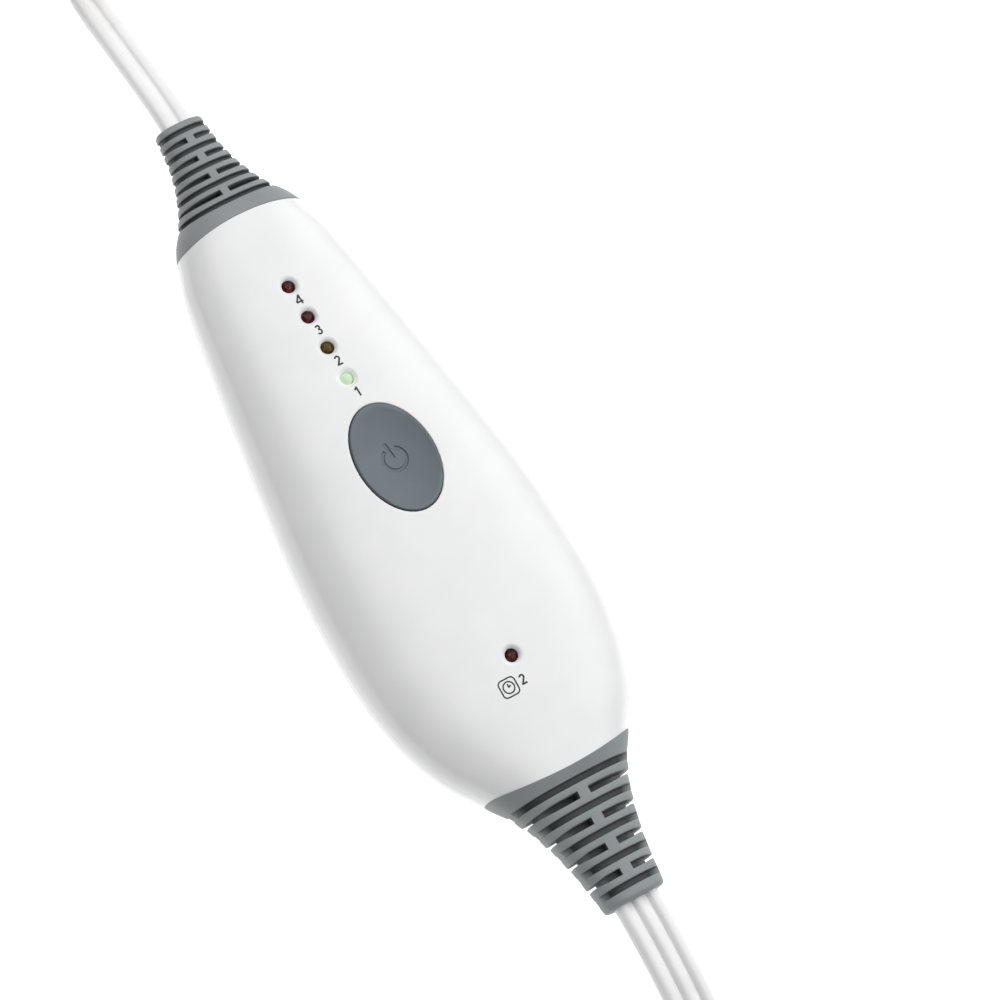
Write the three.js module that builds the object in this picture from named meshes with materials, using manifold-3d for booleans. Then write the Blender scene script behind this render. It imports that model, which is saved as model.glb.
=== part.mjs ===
// The hand controller of a heating pad, on its flat mains cord and its flat pad lead.
// Millimetres. X runs across the casing, Y along it towards the mains cord, Z out of its front.
// The origin lies on the flat back, under the middle of the casing with its strain reliefs.
import * as THREE from 'three';
import { mergeVertices } from 'three/addons/utils/BufferGeometryUtils.js';
import Module from 'manifold-3d';

const wasm = await Module();
wasm.setup();

// Fits
const CLEARANCE = 0.3; // between pieces that slide, fit into each other or follow a curve
const SEAT_GAP = 0.2; // between a piece and the flat face that it sits on

// Casing
const CASE_LENGTH = 128; // along its sides, from strain relief to strain relief
const PART_Z = 10; // parting plane of the two shells, over the flat back
const WALL = 2.2;
const END_WALL = 2.4;
const END_BOW = 1.9; // how far the casing's ends bulge in the middle
const FRONT_POWER = 2.35; // exponent of the section's dome over the parting plane
const BACK_POWER = 3; // exponent of the section's belly under it
// Share of the length from the mains end, half width, crown over the parting plane, and how far
// the belly would pass the flat back, which cuts it off.
const CASE_STATIONS = [
  [0.0, 14.9, 7.1, -2.7],
  [0.06, 17.5, 7.7, -1.6],
  [0.2, 20.8, 9.5, 0.2],
  [0.4, 25.0, 11.4, 0.8],
  [0.55, 27.6, 11.8, 1.0],
  [0.67, 28.4, 11.6, 1.0],
  [0.78, 28.0, 11.0, 0.8],
  [0.87, 25.8, 10.2, 0.2],
  [0.94, 22.3, 9.2, -0.8],
  [1.0, 17.1, 8.0, -2.0],
];

// Strain reliefs. Share of the length from the casing, half width and half height.
const MAINS_RELIEF = {
  length: 26.1,
  stations: [[0.12, 13.2, 6.5], [0.26, 10.7, 5.5], [0.47, 8.0, 4.4], [0.7, 6.2, 3.6], [1, 5.3, 3.1]],
  grooves: 9,
  groovePitch: 2.26,
  grooveWidth: 1.0,
  grooveDepth: 1.2,
  tipToGroove: 2.1,
  bridge: 1.8,
};
const PAD_RELIEF = {
  length: 32.3,
  stations: [[0.17, 13.6, 6.5], [0.37, 10.8, 5.5], [0.65, 8.4, 4.8], [1, 6.8, 4.4]],
  grooves: 9,
  groovePitch: 3.01,
  grooveWidth: 1.4,
  grooveDepth: 2.0,
  tipToGroove: 3.6,
  bridge: 2.6,
};
const RELIEF_TIP_ROUND = 0.8;
const NECK_INSET = 4.4; // from the casing's outer surface in to the relief's neck
const FLANGE_THICKNESS = 2;

// Front
const LED_RADIUS = 1.5;
const LED_HEIGHT = 5.3;
const LED_FLANGE = 0.4;
const LED_FLANGE_HEIGHT = 1;
const LED_RECESS = 0.9; // from the front's surface down to the lamp's tip
const LED_CHAMFER = 1.1; // widening of a lamp's hole at the surface
const LED_FROM_END = 16.5; // first lamp from the casing's mains end
const LED_PITCH = 7.63;
const HEAT_LEDS = 4;
const TIMER_LED_FROM_PAD_END = 22.8;
const BUTTON_FROM_END = 58.7;
const BUTTON_LENGTH = 24.3;
const BUTTON_WIDTH = 17;
const BUTTON_PROUD = 0.4;
const BUTTON_LIP = 1.5; // flange that keeps the button in the shell
const BUTTON_WALL = 1.6;
const BUTTON_SKIRT = 6.5; // underside of the lip over the parting plane
const BUTTON_TRAVEL = 0.8;
const STEM_RADIUS = 2.4;

// Board and what stands on it
const BOARD_UNDER = 7.5;
const BOARD_THICKNESS = 1.6;
const BOARD_MARGIN = 1.6; // from the casing's inner wall
const BOARD_MAINS_TONGUE = [10.8, 6.2]; // distance of its end from the casing's end, half width
const BOARD_PAD_TONGUE = [13.2, 8.4];
const BOARD_SHOULDER = 10; // length of both tongues
const SPACER_RADIUS = 2.2;
const SWITCH_SIDE = 6.2;
const SWITCH_HEIGHT = 3.6;
const PLUNGER_RADIUS = 1.6;
const PLUNGER_PROUD = 1.5;
const WIRE_RADIUS = 0.8;
const WIRE_SPREAD = 1.9; // spacing of the wires on the board over that of the cores
const WIRE_ON_BOARD = 2.5; // from the board's end to a wire's end
// Place across, distance from the casing's mains or pad end, and size.
const MICROCONTROLLER = { x: 9.5, fromMains: 37, width: 4, length: 8.6, height: 1.6 };
const X_CAPACITOR = { x: 12.5, fromPad: 49, width: 7, length: 13, height: 5.5 };
const TRIAC = { x: 0, fromPad: 46, width: 8, length: 3.4, height: 5.5 };
const ELECTROLYTIC = { x: -13, fromPad: 49, radius: 4, height: 5.5 };
const FUSE = { x: 0, fromPad: 38, radius: 2.2, length: 14 };
const VARISTOR = { x: -13, fromPad: 39, radius: 2.8, length: 3.5 };
const RESISTOR = { x: 12.5, fromPad: 38, radius: 1.8, length: 9 };

// Screws and standoffs. Distance of a pair from the casing's nearer end, and from the middle plane.
const MAINS_SCREWS = [12.2, 11];
const PAD_SCREWS = [12.8, 14];
const PILLAR_RADIUS = 4;
const BOSS_RADIUS = 3.2;
const SCREW_RADIUS = 1.2;
const SCREW_HEAD_RADIUS = 2.5;
const SCREW_HEAD_HEIGHT = 1.8;
const SCREW_SUNK = 2; // head's outer face over the flat back
const SCREW_BITE = 5; // into the front shell
const MAINS_STANDOFFS = [47.1, 13];
const PAD_STANDOFFS = [31, 16];
const BOARD_SCREWS = [0, 3]; // the standoffs that are screwed
const STANDOFF_RADIUS = 2.6;
const BOARD_SCREW_RADIUS = 0.9;
const BOARD_SCREW_HEAD = [2.1, 1.4];
const BOARD_SCREW_BITE = 3.5;

// Cords. Width, thickness and cores of the flat section.
const MAINS_FLAT = { width: 6.9, thickness: 3.4, waist: 1.9, cores: 2 };
const PAD_FLAT = { width: 10.2, thickness: 3.4, waist: 2.0, cores: 3 };
const FLOOR_GAP = 0.1;
// Loops of a hank: start is where its tube begins, past the strain relief's tip; run is the straight
// between its folds, draw how far the tie draws the runs in, turns the number of loops, and
// reverse the turn at which the spiral is tightest, climbing to the next layer along that run.
const MAINS_HANK = { start: 88.1, run: 95, fold: 20.7, step: 4.5, draw: 12, turns: 4.5, reverse: 2.125 };
const PAD_HANK = { start: 87, run: 57, fold: 27, step: 4.1, draw: 0, turns: 1.5, reverse: 1.5 };
const LOOP_STEPS = 24;
const LAYER_GAP = 0.5;
const CLIMB_TURN = 0.125; // half of the stretch in which a hank climbs a layer, in turns
const TIE_WIDTH = 6;
const TIE_THICKNESS = 1;
const SPAN_STEPS = 2; // steps of a free stretch between two points of its route
// Free stretches: across, distance past the strain relief's tip, height, and roll in degrees, where
// 0 lies flat and 90 stands on edge.
const MAINS_ROUTE = [
  [0, 0.3, 10, 0],
  [0, 5, 9.5, 0],
  [0, 11, 8.3, 0],
  [0, 18, 6.6, 0],
  [0, 25, 4.8, 0],
  [0, 31, 3.3, 0],
  [0.1, 37, 2.6, 6],
  [1.8, 44.3, 2.6, 20],
  [7, 53.3, 3.1, 50],
  [14.4, 59.6, 3.6, 76],
  [22.5, 66.6, 3.6, 90],
  [28.3, 76.5, 3.55, 90],
  [30.26, 87.8, 3.55, 90],
];
const MAINS_TAIL = [
  [-31.39, 182.8, 10.95, 90],
  [-31.4, 175.5, 11.3, 90],
  [-31.1, 166.5, 13.0, 80],
  [-29.6, 157.5, 16.0, 58],
  [-26.2, 148.5, 18.7, 34],
  [-20.8, 139.5, 20.0, 14],
  [-14.2, 130.5, 19.7, 4],
  [-7.9, 121.5, 19.5, 0],
  [-3.2, 112.5, 20.3, 0],
  [-0.8, 104.5, 21.3, 0],
  [0, 98.3, 21.7, 0],
];
const PAD_ROUTE = [
  [0, 0.3, 10, 0],
  [0, 6, 9.6, 0],
  [0, 13, 8.7, 0],
  [0, 20, 7.3, 0],
  [0, 26, 5.8, 0],
  [0.6, 32, 4.5, 7],
  [2.2, 37.7, 3.8, 18],
  [7.8, 47.8, 4.3, 48],
  [16.6, 55.9, 5.1, 74],
  [25.3, 63.9, 5.2, 90],
  [31.1, 74.7, 5.2, 90],
  [33.15, 86.7, 5.2, 90],
];
const PAD_TAIL = [
  [-27, 143.7, 5.2, 90],
  [-27, 139, 5.3, 90],
  [-26, 131.2, 6.0, 82],
  [-23, 123.9, 7.8, 64],
  [-17.5, 117, 10.6, 40],
  [-12, 110.1, 13.2, 18],
  [-9, 102.8, 14.8, 5],
  [-8, 95, 15.4, 0],
  [-8, 89.6, 15.4, 0],
];
// End pieces: distance from the cord's end, half width and half height.
const PLUG_STATIONS = [
  [0, 4.6, 2.9],
  [13, 5.6, 3.8],
  [17, 10.6, 6.2],
  [28, 11.6, 6.9],
  [41, 11, 6.5],
  [42, 10.2, 5.8],
];
const BLADE = [6.3, 1.5, 16]; // across, thickness and length
const BLADE_PITCH = 12.7;
const CONNECTOR_STATIONS = [[0, 6, 2.7], [9, 7, 3.4], [12, 10.4, 4.3], [33, 10.8, 4.6], [34, 10, 3.9]];
const CONTACT = [1.1, 8]; // radius and length
const CONTACT_PITCH = 5;

// Fineness of the faceted surfaces
const CASE_STEPS = 16; // round half of a section
const CAVITY_STEPS = 10;
const SLEEVE_STEPS = 8;
const CASE_RINGS = 18;
const CAVITY_RINGS = 10;
const RELIEF_RINGS = 6;
const ROUND_SIDES = 16;
const SMALL_SIDES = 10;
const WIRE_SIDES = 8;
const OVERCUT = 1; // a cutter reaches this far past what it cuts
const FAR = 60; // larger than the casing across
const ROUNDING = 1e-9; // what a sine may miss zero by

const material = (color, roughness, metalness = 0) =>
  new THREE.MeshStandardMaterial({ color, roughness, metalness });
const WHITE_GLOSS = material(0xf3f3f1, 0.25);
const GREY_RUBBER = material(0x7d858a, 0.6);
const GREY_BUTTON = material(0x66727a, 0.5);
const RED_LAMP = material(0x4a1416, 0.2);
const AMBER_LAMP = material(0x57440f, 0.2);
const GREEN_LAMP = material(0xc9f0c4, 0.2);
const WHITE_CORD = material(0xe9e9e7, 0.4);
const BOARD_GREEN = material(0x2f6b3c, 0.5);
const BLACK_PLASTIC = material(0x1d1e20, 0.5);
const BLUE_SLEEVE = material(0x27406f, 0.4);
const YELLOW_CASE = material(0xd2b33a, 0.5);
const BEIGE_COAT = material(0xc9b48c, 0.5);
const FUSE_GLASS = material(0xd9e2e2, 0.15);
const STEEL = material(0xb9bcc0, 0.35, 1);
const BRASS = material(0xc8a75a, 0.3, 1);

const controller = new THREE.Group();

// Closed bodies and how they are joined and cut

function solid(geometry) {
  const bare = geometry.clone();
  bare.deleteAttribute('normal');
  bare.deleteAttribute('uv');
  const merged = mergeVertices(bare);
  const at = merged.attributes.position.array;
  const triangles = Uint32Array.from(merged.index.array);
  let volume = 0;
  for (let i = 0; i < triangles.length; i += 3) {
    const [a, b, c] = [0, 1, 2].map((k) => new THREE.Vector3().fromArray(at, 3 * triangles[i + k]));
    volume += a.dot(b.cross(c));
  }
  if (volume < 0) triangles.reverse();
  return new wasm.Manifold(new wasm.Mesh({ numProp: 3, vertProperties: at, triVerts: triangles }));
}

function piece(name, body, finish) {
  const { vertProperties, triVerts } = body.getMesh();
  const geometry = new THREE.BufferGeometry();
  geometry.setAttribute('position', new THREE.BufferAttribute(vertProperties, 3));
  geometry.setIndex(new THREE.BufferAttribute(triVerts, 1));
  geometry.computeVertexNormals();
  const mesh = new THREE.Mesh(geometry, finish);
  mesh.name = name;
  controller.add(mesh);
}

// Skin over rings of as many points each, closed by a fan at either end.
function loft(rings) {
  const count = rings[0].length;
  const points = rings.flat();
  const index = [];
  const last = (rings.length - 1) * count;
  for (let r = 0; r < last; r += count) {
    for (let i = 0; i < count; i++) {
      const next = (i + 1) % count;
      index.push(r + i, r + next, r + count + i, r + next, r + count + next, r + count + i);
    }
  }
  for (const [first, flip] of [[0, true], [last, false]]) {
    const middle = points.length;
    const ring = points.slice(first, first + count);
    points.push(ring.reduce((sum, p) => sum.add(p), new THREE.Vector3()).divideScalar(count));
    for (let i = 0; i < count; i++) {
      const edge = [first + i, first + ((i + 1) % count)];
      index.push(middle, ...(flip ? edge.reverse() : edge));
    }
  }
  const geometry = new THREE.BufferGeometry().setFromPoints(points);
  geometry.setIndex(index);
  return solid(geometry);
}

function block(x, y, z) {
  const size = [x, y, z].map(([low, high]) => high - low);
  const middle = [x, y, z].map(([low, high]) => (low + high) / 2);
  return solid(new THREE.BoxGeometry(...size).translate(...middle));
}

function post(x, y, low, high, radius, topRadius = radius, sides = ROUND_SIDES) {
  const geometry = new THREE.CylinderGeometry(topRadius, radius, high - low, sides);
  return solid(geometry.rotateX(Math.PI / 2).translate(x, y, (low + high) / 2));
}

const smallPost = (x, y, low, high, radius) => post(x, y, low, high, radius, radius, SMALL_SIDES);

// Body turned about an upright axis through x and y, from a profile of radius and height.
function turned(x, y, profile, sides = ROUND_SIDES) {
  const points = profile.map(([radius, height]) => new THREE.Vector2(radius, height));
  return solid(new THREE.LatheGeometry(points, sides).rotateX(Math.PI / 2).translate(x, y, 0));
}

// The casing's surface

// Value of a column on a smooth curve through stations, running on straight past both ends.
function along(stations, column) {
  const last = stations.length - 1;
  const slopes = stations.map((_, i) => {
    const before = stations[Math.max(i - 1, 0)];
    const after = stations[Math.min(i + 1, last)];
    return (after[column] - before[column]) / (after[0] - before[0]);
  });
  return (at) => {
    const end = at <= stations[0][0] ? 0 : at >= stations[last][0] ? last : -1;
    if (end >= 0) return stations[end][column] + slopes[end] * (at - stations[end][0]);
    const i = stations.findIndex((station) => station[0] > at) - 1;
    const span = stations[i + 1][0] - stations[i][0];
    const u = (at - stations[i][0]) / span;
    const rise = stations[i + 1][column] - stations[i][column];
    const bend = (1 - u) * (slopes[i] * span - rise) - u * (slopes[i + 1] * span - rise);
    return stations[i][column] + u * rise + u * (1 - u) * bend;
  };
}

const TIP_Y = (MAINS_RELIEF.length + CASE_LENGTH + PAD_RELIEF.length) / 2;
const MAINS_END = TIP_Y - MAINS_RELIEF.length;
const PAD_END = PAD_RELIEF.length - TIP_Y;
const fromMainsEnd = (distance) => MAINS_END - distance;
const fromPadEnd = (distance) => PAD_END + distance;

const [caseHalf, caseCrown, caseKeel] = [1, 2, 3].map((column) => along(CASE_STATIONS, column));
function caseSection(y) {
  const share = (MAINS_END - y) / CASE_LENGTH;
  return { half: caseHalf(share), crown: caseCrown(share), belly: PART_Z + caseKeel(share) };
}

// Points of a section at y, inset from its surface, between two turns counted in half circles.
function sectionPoints({ half, crown, belly }, y, inset, from, to, halfSteps) {
  const points = [];
  const steps = Math.round((to - from) * halfSteps);
  for (let i = 0; i <= steps; i++) {
    const turn = Math.PI * (from + i / halfSteps);
    const up = Math.sin(turn) > -ROUNDING;
    const power = 2 / (up ? FRONT_POWER : BACK_POWER);
    const across = Math.sign(Math.cos(turn)) * Math.abs(Math.cos(turn)) ** power;
    const rise = Math.abs(Math.sin(turn)) ** power;
    const z = PART_Z + (up ? rise * (crown - inset) : -rise * (belly - inset));
    points.push(new THREE.Vector3((half - inset) * across, y, z));
  }
  return points;
}

const fullRing = (section, y, inset) => sectionPoints(section, y, inset, 0, 2, SLEEVE_STEPS).slice(0, -1);

// Half of the casing's outer form (side 1 is the front, -1 the back), inset from its surface. Its
// flat face lies seam short of the parting plane, or past it where seam is negative.
function halfCase(side, inset, seam, low, high, count, halfSteps) {
  const rings = [];
  for (let r = 0; r <= count; r++) {
    const y = low + ((high - low) * r) / count;
    const arc = side > 0 ? [0, 1] : [1, 2];
    const ring = sectionPoints(caseSection(y), y, inset, ...arc, halfSteps);
    for (const p of ring) p.z = Math.max(inset, p.z);
    const face = PART_Z + side * seam;
    if (seam < 0) {
      const corners = [ring[ring.length - 1], ring[0]].map((p) => p.clone().setZ(face));
      rings.push([...ring, ...corners]);
    } else {
      for (const p of ring) p.z = side > 0 ? Math.max(face, p.z) : Math.min(face, p.z);
      rings.push(ring);
    }
  }
  return loft(rings);
}

function outerHalf(side, inset = 0) {
  const past = END_BOW + OVERCUT;
  return halfCase(side, inset, CLEARANCE / 2, PAD_END - past, MAINS_END + past, CASE_RINGS, CASE_STEPS);
}

function cavityHalf(side) {
  const [low, high] = [PAD_END + END_WALL, MAINS_END - END_WALL];
  return halfCase(side, WALL, -OVERCUT, low, high, CAVITY_RINGS, CAVITY_STEPS);
}

// Prism over the casing's plan, between its two bowed ends, grown past them by a gap.
function betweenEnds(gap) {
  const plan = new THREE.Shape();
  for (const [end, way] of [[MAINS_END, 1], [PAD_END, -1]]) {
    const half = caseSection(end).half;
    const radius = (half ** 2 + END_BOW ** 2) / (2 * END_BOW);
    const reach = Math.asin((half + 2 * OVERCUT) / radius);
    const middle = end + way * (END_BOW - radius);
    const corner = middle + way * (radius + gap) * Math.cos(reach);
    plan[way > 0 ? 'moveTo' : 'lineTo'](way * FAR, corner);
    const start = (way * Math.PI) / 2;
    plan.absarc(0, middle, radius + gap, start - reach, start + reach, false);
    plan.lineTo(-way * FAR, corner);
  }
  const options = { depth: 2 * FAR, bevelEnabled: false, curveSegments: ROUND_SIDES };
  return solid(new THREE.ExtrudeGeometry(plan, options).translate(0, 0, -FAR));
}

// Height of the casing's front over a point.
function frontHeight(x, y) {
  const { half, crown } = caseSection(y);
  return PART_Z + crown * (1 - Math.abs(x / half) ** FRONT_POWER) ** (1 / FRONT_POWER);
}

// Straight prism of the casing's end section, for a relief's neck and the hole that it passes.
function neckPrism(end, way, inset, inner) {
  const section = caseSection(end);
  return loft([inner, end + way * (END_BOW + OVERCUT)].map((y) => fullRing(section, y, inset)));
}

const inPairs = (mains, pad) => [
  ...[-1, 1].map((side) => [side * mains[1], fromMainsEnd(mains[0])]),
  ...[-1, 1].map((side) => [side * pad[1], fromPadEnd(pad[0])]),
];
const caseScrewPlaces = inPairs(MAINS_SCREWS, PAD_SCREWS);
const standoffPlaces = inPairs(MAINS_STANDOFFS, PAD_STANDOFFS);
const heatLedPlaces = Array.from({ length: HEAT_LEDS }, (_, i) => fromMainsEnd(LED_FROM_END + i * LED_PITCH));
const timerLedPlace = fromPadEnd(TIMER_LED_FROM_PAD_END);
const BUTTON_Y = fromMainsEnd(BUTTON_FROM_END);
const BOARD_TOP = BOARD_UNDER + BOARD_THICKNESS;
const ON_BOARD = BOARD_TOP + SEAT_GAP; // underside of what stands on the board
const ENDS = [[MAINS_END, 1], [PAD_END, -1]];

// Upright prism of the button's oval, grown all round.
function buttonOval(grow, low, high) {
  const oval = new THREE.Shape();
  oval.absellipse(0, BUTTON_Y, BUTTON_WIDTH / 2 + grow, BUTTON_LENGTH / 2 + grow, 0, 2 * Math.PI);
  const options = { depth: high - low, bevelEnabled: false, curveSegments: ROUND_SIDES };
  return solid(new THREE.ExtrudeGeometry(oval, options).translate(0, 0, low));
}

// Casing

function topShell() {
  const outer = outerHalf(1);
  const seam = PART_Z + CLEARANCE / 2;
  let shell = outer.intersect(betweenEnds(0)).subtract(cavityHalf(1));
  for (const [x, y] of caseScrewPlaces) {
    shell = shell.add(smallPost(x, y, seam, FAR, BOSS_RADIUS).intersect(outer));
    shell = shell.subtract(smallPost(x, y, 0, seam + SCREW_BITE + OVERCUT, SCREW_RADIUS + CLEARANCE));
  }
  for (const y of [...heatLedPlaces, timerLedPlace]) {
    const front = frontHeight(0, y);
    const hole = LED_RADIUS + CLEARANCE;
    shell = shell.subtract(post(0, y, PART_Z, FAR, hole));
    const mouth = post(0, y, front - LED_CHAMFER, front + LED_CHAMFER, hole, hole + 2 * LED_CHAMFER);
    shell = shell.subtract(mouth);
  }
  shell = shell.subtract(buttonOval(CLEARANCE, PART_Z, FAR));
  for (const [end, way] of ENDS) {
    const inner = end - way * (END_WALL + OVERCUT);
    shell = shell.subtract(neckPrism(end, way, NECK_INSET - CLEARANCE, inner));
  }
  return shell;
}

function bottomShell() {
  const outer = outerHalf(-1);
  const seam = PART_Z - CLEARANCE / 2;
  let shell = outer.intersect(betweenEnds(0)).subtract(cavityHalf(-1));
  for (const [x, y] of caseScrewPlaces) {
    shell = shell.add(smallPost(x, y, -FAR, seam, PILLAR_RADIUS).intersect(outer));
    const head = SCREW_SUNK + SCREW_HEAD_HEIGHT + SEAT_GAP;
    shell = shell.subtract(smallPost(x, y, -OVERCUT, head, SCREW_HEAD_RADIUS + CLEARANCE));
    shell = shell.subtract(smallPost(x, y, 0, PART_Z, SCREW_RADIUS + CLEARANCE));
  }
  standoffPlaces.forEach(([x, y], i) => {
    shell = shell.add(smallPost(x, y, WALL / 2, BOARD_UNDER - SEAT_GAP, STANDOFF_RADIUS));
    if (!BOARD_SCREWS.includes(i)) return;
    const hole = BOARD_UNDER - BOARD_SCREW_BITE - OVERCUT;
    shell = shell.subtract(smallPost(x, y, hole, PART_Z, BOARD_SCREW_RADIUS + CLEARANCE));
  });
  for (const [end, way] of ENDS) {
    const inner = end - way * (END_WALL + OVERCUT);
    shell = shell.subtract(neckPrism(end, way, NECK_INSET - CLEARANCE, inner));
  }
  return shell;
}

// Screw with its head at low and its shank running up, or with its head on top and running down.
function screw(x, y, head, headHeight, headRadius, shankEnd, radius) {
  const way = Math.sign(shankEnd - head);
  const neck = head + way * headHeight;
  const profile = [[0, head], [headRadius, head], [headRadius, neck], [radius, neck], [radius, shankEnd]];
  return turned(x, y, [...profile, [0, shankEnd]], SMALL_SIDES);
}

// Strain reliefs

function strainRelief(end, way, relief) {
  const { half, crown, belly } = caseSection(end);
  const wide = along([[0, half], ...relief.stations], 1);
  const front = along([[0, null, crown], ...relief.stations], 2);
  const back = along([[0, null, belly], ...relief.stations], 2);
  const ringAt = (distance, inset) => {
    const share = distance / relief.length;
    const section = { half: wide(share), crown: front(share), belly: back(share) };
    return fullRing(section, end + way * distance, inset);
  };
  const rounded = relief.length - RELIEF_TIP_ROUND;
  const skin = [];
  const core = [];
  for (let r = 0; r <= RELIEF_RINGS; r++) {
    const distance = -OVERCUT + ((rounded + OVERCUT) * r) / RELIEF_RINGS;
    skin.push(ringAt(distance, 0));
    core.push(ringAt(distance, relief.grooveDepth));
  }
  skin.push(ringAt(relief.length - RELIEF_TIP_ROUND / 3, RELIEF_TIP_ROUND / 3));
  skin.push(ringAt(relief.length, RELIEF_TIP_ROUND));
  let body = loft(skin);
  for (let i = 0; i < relief.grooves; i++) {
    const middle = end + way * (relief.length - relief.tipToGroove - i * relief.groovePitch);
    const groove = [middle - relief.grooveWidth / 2, middle + relief.grooveWidth / 2];
    const [near, far] = [relief.bridge / 2, FAR];
    const acrossFront = i % 2 === 0;
    for (const side of [-1, 1]) {
      const reach = side > 0 ? [near, far] : [-far, -near];
      const cutter = acrossFront
        ? block([-FAR, FAR], groove, reach.map((z) => PART_Z + z))
        : block(reach, groove, [-FAR, FAR]);
      body = body.subtract(cutter);
    }
  }
  body = body.add(loft(core)).subtract(betweenEnds(CLEARANCE));
  const flangeOut = end - way * (END_WALL + CLEARANCE);
  const flangeIn = flangeOut - way * FLANGE_THICKNESS;
  const inside = caseSection(flangeOut);
  const flange = loft([flangeOut, flangeIn].map((y) => fullRing(inside, y, WALL + CLEARANCE)));
  return body.add(neckPrism(end, way, NECK_INSET, flangeIn)).add(flange);
}

// Lamps, button and switch

function ledBody(y) {
  const tip = frontHeight(0, y) - LED_RECESS;
  const base = tip - LED_HEIGHT;
  const flange = LED_RADIUS + LED_FLANGE;
  const shoulder = base + LED_FLANGE_HEIGHT;
  const profile = [[0, base], [flange, base], [flange, shoulder], [LED_RADIUS, shoulder]];
  for (const turn of [0, 30, 60]) {
    const angle = THREE.MathUtils.degToRad(turn);
    profile.push([LED_RADIUS * Math.cos(angle), tip - LED_RADIUS * (1 - Math.sin(angle))]);
  }
  return turned(0, y, [...profile, [0, tip]], SMALL_SIDES);
}

function ledSpacer(y) {
  const top = frontHeight(0, y) - LED_RECESS - LED_HEIGHT - SEAT_GAP;
  return smallPost(0, y, ON_BOARD, top, SPACER_RADIUS);
}

const SWITCH_TOP = ON_BOARD + SWITCH_HEIGHT;
const PLUNGER_TOP = SWITCH_TOP + PLUNGER_PROUD;
const PLUNGER_SUNK = BUTTON_TRAVEL + CLEARANCE; // how far the plunger reaches into the switch

function powerButton() {
  const skirt = PART_Z + BUTTON_SKIRT;
  const cap = buttonOval(0, skirt, FAR).intersect(outerHalf(1, -BUTTON_PROUD));
  const lip = buttonOval(BUTTON_LIP, skirt, FAR).intersect(outerHalf(1, WALL + CLEARANCE));
  const roof = frontHeight(BUTTON_WIDTH / 2, BUTTON_Y + BUTTON_LENGTH / 2) - BUTTON_WALL;
  const hollow = buttonOval(-BUTTON_WALL, 0, roof);
  const stem = post(0, BUTTON_Y, PLUNGER_TOP + SEAT_GAP, roof + OVERCUT, STEM_RADIUS);
  return cap.add(lip).subtract(hollow).add(stem);
}

function switchBody() {
  const half = SWITCH_SIDE / 2;
  const body = block([-half, half], [BUTTON_Y - half, BUTTON_Y + half], [ON_BOARD, SWITCH_TOP]);
  const bore = SWITCH_TOP - PLUNGER_SUNK - BUTTON_TRAVEL - CLEARANCE;
  return body.subtract(post(0, BUTTON_Y, bore, FAR, PLUNGER_RADIUS + CLEARANCE));
}

// Board and what stands on it

function circuitBoard() {
  const [mainsGap, mainsHalf] = BOARD_MAINS_TONGUE;
  const [padGap, padHalf] = BOARD_PAD_TONGUE;
  const [top, bottom] = [MAINS_END - mainsGap, PAD_END + padGap];
  const wide = [top - BOARD_SHOULDER, bottom + BOARD_SHOULDER];
  const side = [[mainsHalf, top], [mainsHalf, wide[0]]];
  const steps = CASE_RINGS / 2;
  for (let i = 0; i <= steps; i++) {
    const y = wide[0] + ((wide[1] - wide[0]) * i) / steps;
    side.push([caseSection(y).half - WALL - BOARD_MARGIN, y]);
  }
  side.push([padHalf, wide[1]], [padHalf, bottom]);
  const mirrored = side.map(([x, y]) => [-x, y]).reverse();
  const outline = new THREE.Shape([...side, ...mirrored].map(([x, y]) => new THREE.Vector2(x, y)));
  const options = { depth: BOARD_THICKNESS, bevelEnabled: false };
  let board = solid(new THREE.ExtrudeGeometry(outline, options).translate(0, 0, BOARD_UNDER));
  for (const i of BOARD_SCREWS) {
    board = board.subtract(smallPost(...standoffPlaces[i], 0, FAR, BOARD_SCREW_RADIUS + CLEARANCE));
  }
  return board;
}

const boardY = ({ fromMains, fromPad }) => (fromPad ? fromPadEnd(fromPad) : fromMainsEnd(fromMains));

function boardBlock(part) {
  const { x, width, length, height } = part;
  const y = boardY(part);
  const across = [x - width / 2, x + width / 2];
  return block(across, [y - length / 2, y + length / 2], [ON_BOARD, ON_BOARD + height]);
}

function boardPost(part) {
  return post(part.x, boardY(part), ON_BOARD, ON_BOARD + part.height, part.radius);
}

// Round part lying across the board.
function boardRoller(part) {
  const { x, radius, length } = part;
  const geometry = new THREE.CylinderGeometry(radius, radius, length, SMALL_SIDES).rotateZ(Math.PI / 2);
  return solid(geometry.translate(x, boardY(part), ON_BOARD + radius));
}

// Cores of a cord, from its relief's flange to the end of the board.
function wires(name, end, way, flat, [boardGap]) {
  const pitch = (flat.width - flat.thickness) / (flat.cores - 1);
  const flange = end - way * (END_WALL + FLANGE_THICKNESS + 2 * CLEARANCE);
  const landing = end - way * (boardGap + WIRE_ON_BOARD);
  const height = ON_BOARD + WIRE_RADIUS;
  const section = Array.from({ length: WIRE_SIDES }, (_, i) => {
    const turn = (2 * Math.PI * i) / WIRE_SIDES;
    return [WIRE_RADIUS * Math.cos(turn), WIRE_RADIUS * Math.sin(turn)];
  });
  for (let core = 0; core < flat.cores; core++) {
    const x = (core - (flat.cores - 1) / 2) * pitch;
    const route = [1, (1 + WIRE_SPREAD) / 2, WIRE_SPREAD].map((spread, i) => {
      const y = flange + ((landing - flange) * i) / 2;
      return [x * spread, y, height, 0];
    });
    piece(`${name}_${core + 1}`, tube(route, section).body, WHITE_CORD);
  }
}

// Cords

const UP = new THREE.Vector3(0, 0, 1);

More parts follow.
